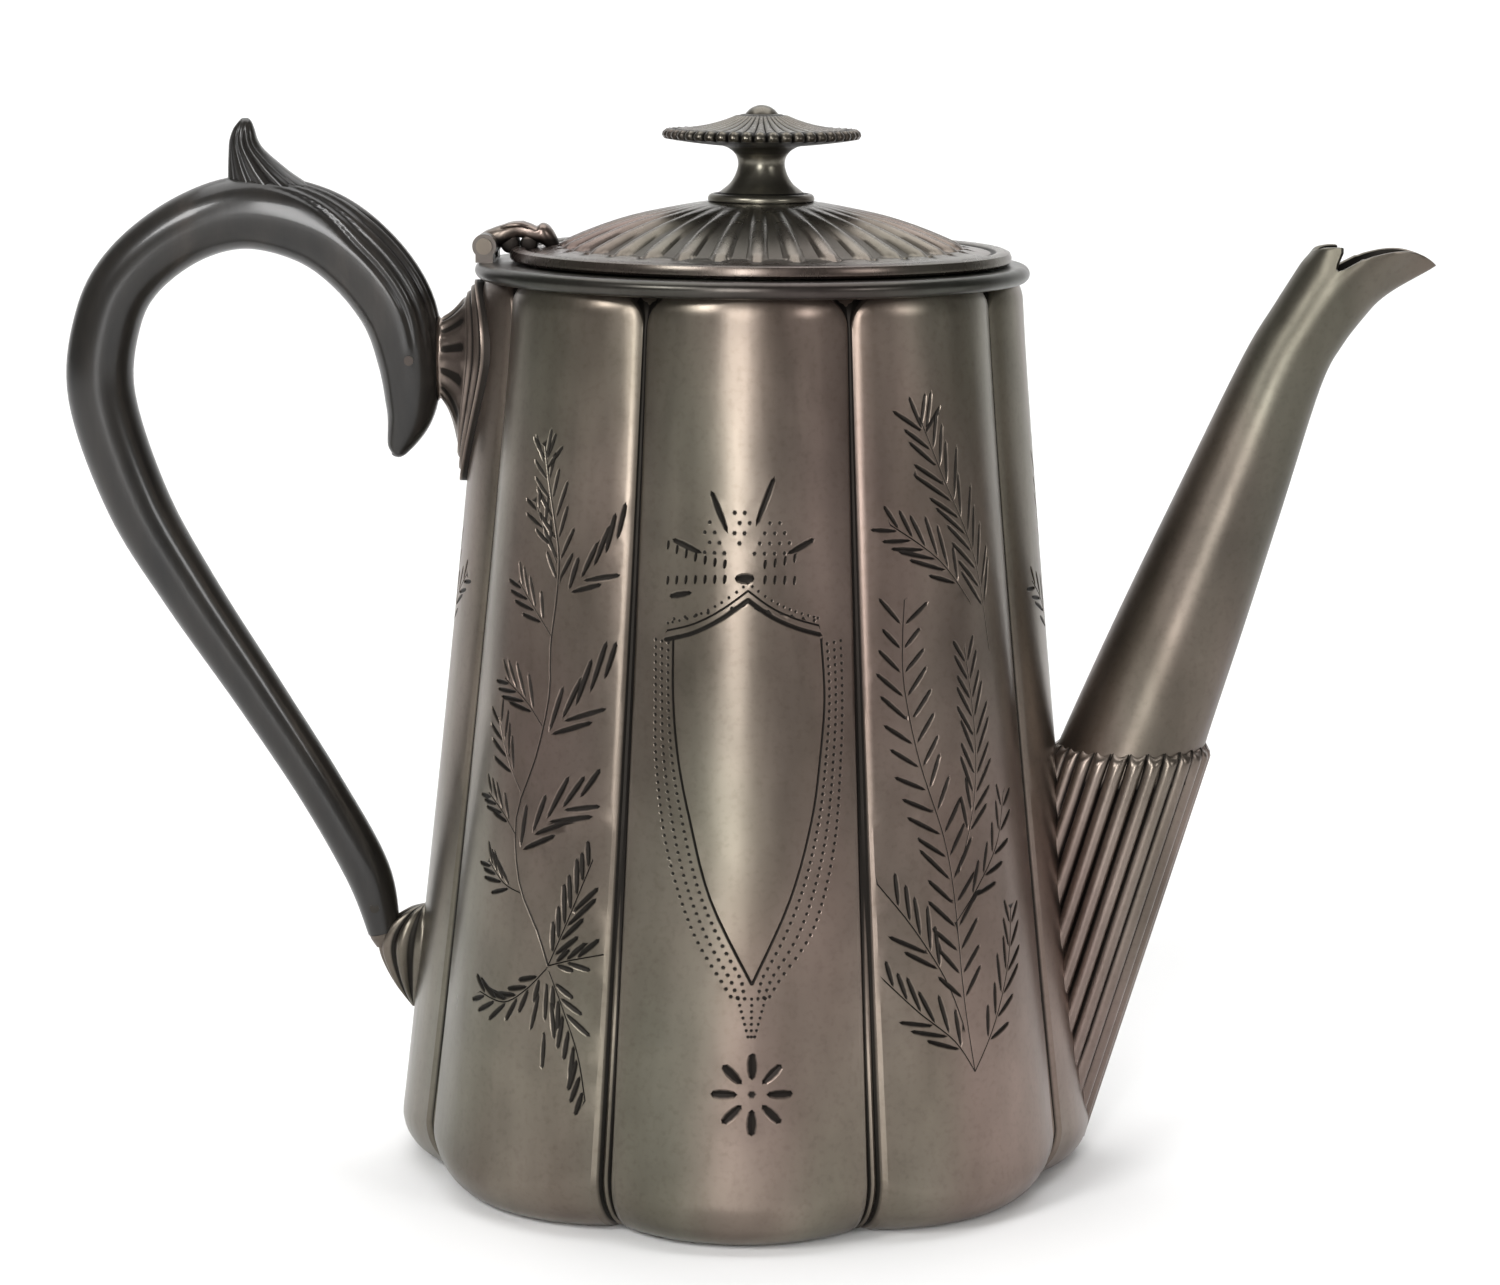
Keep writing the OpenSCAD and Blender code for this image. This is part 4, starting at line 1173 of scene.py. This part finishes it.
def handle_bar():
    path = spline(HANDLE, 9)
    centres = np.array([handle_at(h, reach) for h, reach, _ in path])
    ways = np.gradient(centres, axis=0)
    n = 144
    a = angles(n)
    side_on = turned(a)
    rings, dark = [], []
    for (h, reach, half), c, way in zip(path, centres, ways):
        out = np.array([-way[1], way[0]]) / norm(way)
        share = len(rings) / (len(path) - 1)
        carved = smooth((share - 0.60) / 0.04) * smooth((0.84 - share) / 0.1)
        fan = 0.55 + 0.45 * smooth((share - 0.6) / 0.1)
        lines = sum(unit(1 - np.abs(side_on - vein * fan) / 6.0) for vein in VEINS)
        groove = VEIN_DEEP * carved * lines
        tall = half - groove
        wide = min(half, 6.3) - groove
        q = c + out * (tall * cos(a))[:, None]
        rings.append(stack([q[:, 0], wide * sin(a), q[:, 1]]))
        # Painted shade in the carved veins.
        dark.append(0.7 * groove / VEIN_DEEP)
    return rings, dark


def thumb_leaf():
    # Height, inner and outer reach, half width
    rows = [(131.5, 35, 45.5, 2.5), (135, 31.5, 47.6, 4.6), (139.5, 32, 48.3, 4.2),
            (143.5, 37.6, 48.7, 3.6), (147, 42.1, 48.9, 3.0), (149, 43.7, 48.9, 2.6),
            (151, 44.5, 48.4, 2.0), (152.4, 45.2, 47.5, 1.2), (153, 45.9, 46.9, 0.35)]
    n = 108
    a = angles(n)
    rings, dark = [], []
    for h, inner, outer, wide in spline(rows, 5):
        z = HANDLE_LOW_Z + h
        middle = straight_crest(z) - (inner + outer) / 2
        reach = (outer - inner) / 2
        vein = sum(unit(1 - np.abs(turned(a) - k) / 9) for k in (42, 72, 100, 128))
        fade = smooth((153 - h) / 4)
        x = middle - reach * cos(a)
        y = wide * np.sign(sin(a)) * np.abs(sin(a)) ** 0.8 * (1 - 0.16 * vein * fade)
        rings.append(stack([x, y, np.full(n, z)]))
        # Painted shade in the carved veins.
        dark.append(0.7 * vein * fade)
    return rings, dark


bar, bar_dark = handle_bar()
leaf, leaf_dark = thumb_leaf()
make("carved_handle", joined([loft(bar), loft(leaf)]), "pot", WOOD, ["handle"], 50,
     bar_dark + leaf_dark)


# ---- handle sockets
def lobe_surface_x(y, z):
    """X of the handle's lobe at (y, z)."""
    phi = np.arcsin(np.clip(y / crest(z), -0.38, 0.38))
    r = lobe_radius(phi, z)
    return -r * cos(phi)


TANG_SIDES = 24
REED_COUNT = 12


def upper_socket():
    n = 80
    a = angles(n)
    c, s = cos(a), sin(a)
    neck = stack([4.0 * c, SOCKET_Z + 7.3 * s])
    low = unit(-s)
    high = unit(s)
    plate = stack([12.6 * c * (1 - 0.35 * low ** 1.3 - 0.1 * high ** 2),
                             SOCKET_Z + 14.6 * high - 22.8 * low ** 1.1])
    flute = cos(a * REED_COUNT)
    rings, dark = [], []
    for t in np.concatenate([[0.0, 0.03, 0.07, 0.10], np.linspace(0.16, 0.7, 10),
                             np.linspace(0.73, 1.0, 14)]):
        flare = t ** 1.9
        shape = neck * (1 - flare) + plate * flare
        surface_x = lobe_surface_x(shape[:, 0], shape[:, 1]) - 1.0
        x = SEAT_X * (1 - t) + surface_x * t
        x = np.minimum(x, lobe_surface_x(shape[:, 0], shape[:, 1]) - 0.9)
        body = smooth((t - 0.08) / 0.12) * smooth((0.74 - t) / 0.08)
        collar = 0.35 * math.exp(-((t - 0.03) / 0.03) ** 2)
        swell = 1 + 0.045 * flute * body + collar * 0.25
        y = shape[:, 0] * swell
        z = SOCKET_Z + (shape[:, 1] - SOCKET_Z) * swell
        ridge = 0.5 * cos(TAU * (t - 0.73) / 0.09) * (t > 0.73) * smooth((t - 0.73) / 0.03)
        rings.append(stack([x - ridge * 0.7, y, z]))
        shade = unit(-flute * 1.4 - 0.5) * body
        shade = np.maximum(shade, max(0, -ridge * 1.7))
        dark.append(shade * 0.95)
    rim = plate * (1.02, 1.0)
    # The plate's edge is dark: painted shade where the socket meets the body.
    for push in (-0.35, 0.6):
        x = lobe_surface_x(rim[:, 0], rim[:, 1]) + push
        rings.append(stack([x, rim[:, 0], np.minimum(rim[:, 1], BODY_H - 0.4)]))
        dark.append(np.full(n, 0.7))
    points, polygons = loft(rings)
    points[:, 2] = np.clip(points[:, 2], 0, BODY_H - 0.2)
    outline = round_hole(np.array([0, SOCKET_Z]), 2.9, TANG_SIDES)
    tang = loft([stack([np.full(TANG_SIDES, x), outline]) for x in (SEAT_X - 7, SEAT_X + 2)])
    dark.append(np.zeros(2 * TANG_SIDES))
    make("handle_socket_upper_cast", joined([(points, polygons), tang]), "pot", CAST,
         ["handle_socket_upper"], 45, dark)


upper_socket()


def lower_socket():
    n = 144
    a = angles(n)
    end = handle_at(0, 6.8)
    # Height from the handle's end, how far out it stands, half width across
    rows = [(5.4, 0.4, 0.8), (4.5, 3.0, 3.1), (2.7, 5.4, 4.5), (0.2, 7.2, 5.2), (-2.4, 7.6, 5.3),
            (-5.2, 6.8, 4.9), (-8.6, 5.0, 3.9), (-11.7, 2.9, 2.6), (-14.6, 0.5, 0.5)]
    wave = cos(a * REED_COUNT)
    rings, dark = [], []
    for h, out, wide in spline(rows, 4):
        z = HANDLE_LOW_Z + h
        share = min(1, wide / 3)
        reed = 1 + 0.08 * wave * share
        y = wide * sin(a) * reed
        x = lobe_surface_x(y, z + 0 * a) - np.maximum(out * cos(a) * reed, -0.7)
        rings.append(stack([x, y, np.full(n, z)]))
        # Painted shade in the reed valleys.
        dark.append(unit(-wave * 1.2 - 0.3) * share)
    way = handle_at(11.5, 11) - end
    way /= norm(way)
    side = np.array([way[1], -way[0]])
    neck = []
    for back, r in ((-2.6, 2.2), (-0.9, 2.8), (-0.1, 2.9), (0.2, 2.6), (6.5, 1.8)):
        centre = end + way * back
        q = centre + side * (r * cos(a))[:, None]
        neck.append(stack([q[:, 0], r * sin(a), q[:, 1]]))
    # The neck a little darker: painted shade where it meets the handle.
    dark += [np.full(n, 0.15)] * len(neck)
    make("handle_socket_lower_cast", joined([loft(rings), loft(neck)]), "pot", CAST,
         ["handle_socket_lower"], 50, dark)


lower_socket()

# ---- carried-over CAD nodes
# rim_pewter on the rim and the hinge's body leaf is painted shade.
CARRIED = {"base_plate": SHEET, "rim_moulding": DARK, "lid_seat_ring": INNER, "handle_pin_upper": PIN,
           "handle_pin_lower": PIN, "hinge_body_leaf": DARK, "hinge_pin": BRASSY, "lid_bezel": INNER,
           "finial_screw": LID, "finial_washer": BRASSY, "finial_nut": BRASSY}
for node, material in CARRIED.items():
    mesh = frame["nodes"][node].data
    mesh.materials.clear()
    shade(mesh, material, 40)


# ---- floor, lights and camera
def floor():
    m = Nodes("floor_paper")
    coords = m.add("ShaderNodeTexCoord").outputs["Object"]
    tone = m.ramp(m.noise(9.0, 2.0, coords), [(0.3, (0.86, 0.86, 0.86)), (0.7, (0.89, 0.89, 0.89))])
    m.join(tone, m.shader.inputs["Base Color"])
    set_input(m.shader, "Roughness", 0.8)
    half, front, back, height, bend = 3.0, -2.5, 1.6, 3.0, 0.6
    profile = [(front, 0.0), (back - bend, 0.0)]
    for k in range(1, 13):
        t = k / 12 * math.pi / 2
        profile.append((back - bend + bend * sin(t), bend - bend * cos(t)))
    profile.append((back, height))
    rows = [[(x, y, z) for y, z in profile] for x in (-half, half)]
    n = len(profile)
    mesh = bpy.data.meshes.new("floor_sweep")
    mesh.from_pydata(rows[0] + rows[1], [], [(k, k + 1, n + k + 1, n + k) for k in range(n - 1)])
    mesh.polygons.foreach_set("use_smooth", [True] * len(mesh.polygons))
    mesh.materials.append(m.material)
    link("floor_sweep", mesh)


def area_light(name, place, target, size, power):
    light = bpy.data.lights.new(name, "AREA")
    light.shape = "RECTANGLE"
    light.size, light.size_y = size
    light.energy = power
    lamp = link(name, light)
    lamp.location = place
    lamp.rotation_euler = (Vector(target) - Vector(place)).to_track_quat("-Z", "Y").to_euler()


def studio():
    world = bpy.data.worlds.new("studio")
    world.use_nodes = True
    bpy.context.scene.world = world
    background = world.node_tree.nodes["Background"]
    set_input(background, "Color", (1.0, 0.98, 0.95, 1))
    set_input(background, "Strength", 0.15)
    middle = (0.0, 0.0, 0.1)
    area_light("front", (-0.18, -1.6, 0.6), middle, (0.26, 1.0), 17)
    area_light("key_left", (-0.95, -1.2, 1.15), middle, (0.45, 0.45), 15)
    area_light("key_right", (1.3, -1.1, 0.75), middle, (0.30, 0.45), 5)
    area_light("top", (0.0, 0.7, 2.2), (0.0, 0.6, 0.0), (2.6, 2.2), 55)


CAMERA_PLACE = (0.01326, -0.70660, 0.21889)
CAMERA_TURN = (80.288, -0.436, 1.143)  # degrees
LENS = 91.86  # mm, on a 36 mm wide sensor


def camera():
    data = bpy.data.cameras.new("camera")
    data.sensor_width = 36.0
    data.lens = LENS
    eye = link("camera", data)
    eye.location = CAMERA_PLACE
    eye.rotation_euler = [math.radians(v) for v in CAMERA_TURN]
    data.clip_end = 20
    bpy.context.scene.camera = eye


floor()
studio()
camera()
bpy.context.scene.view_settings.view_transform = "Standard"
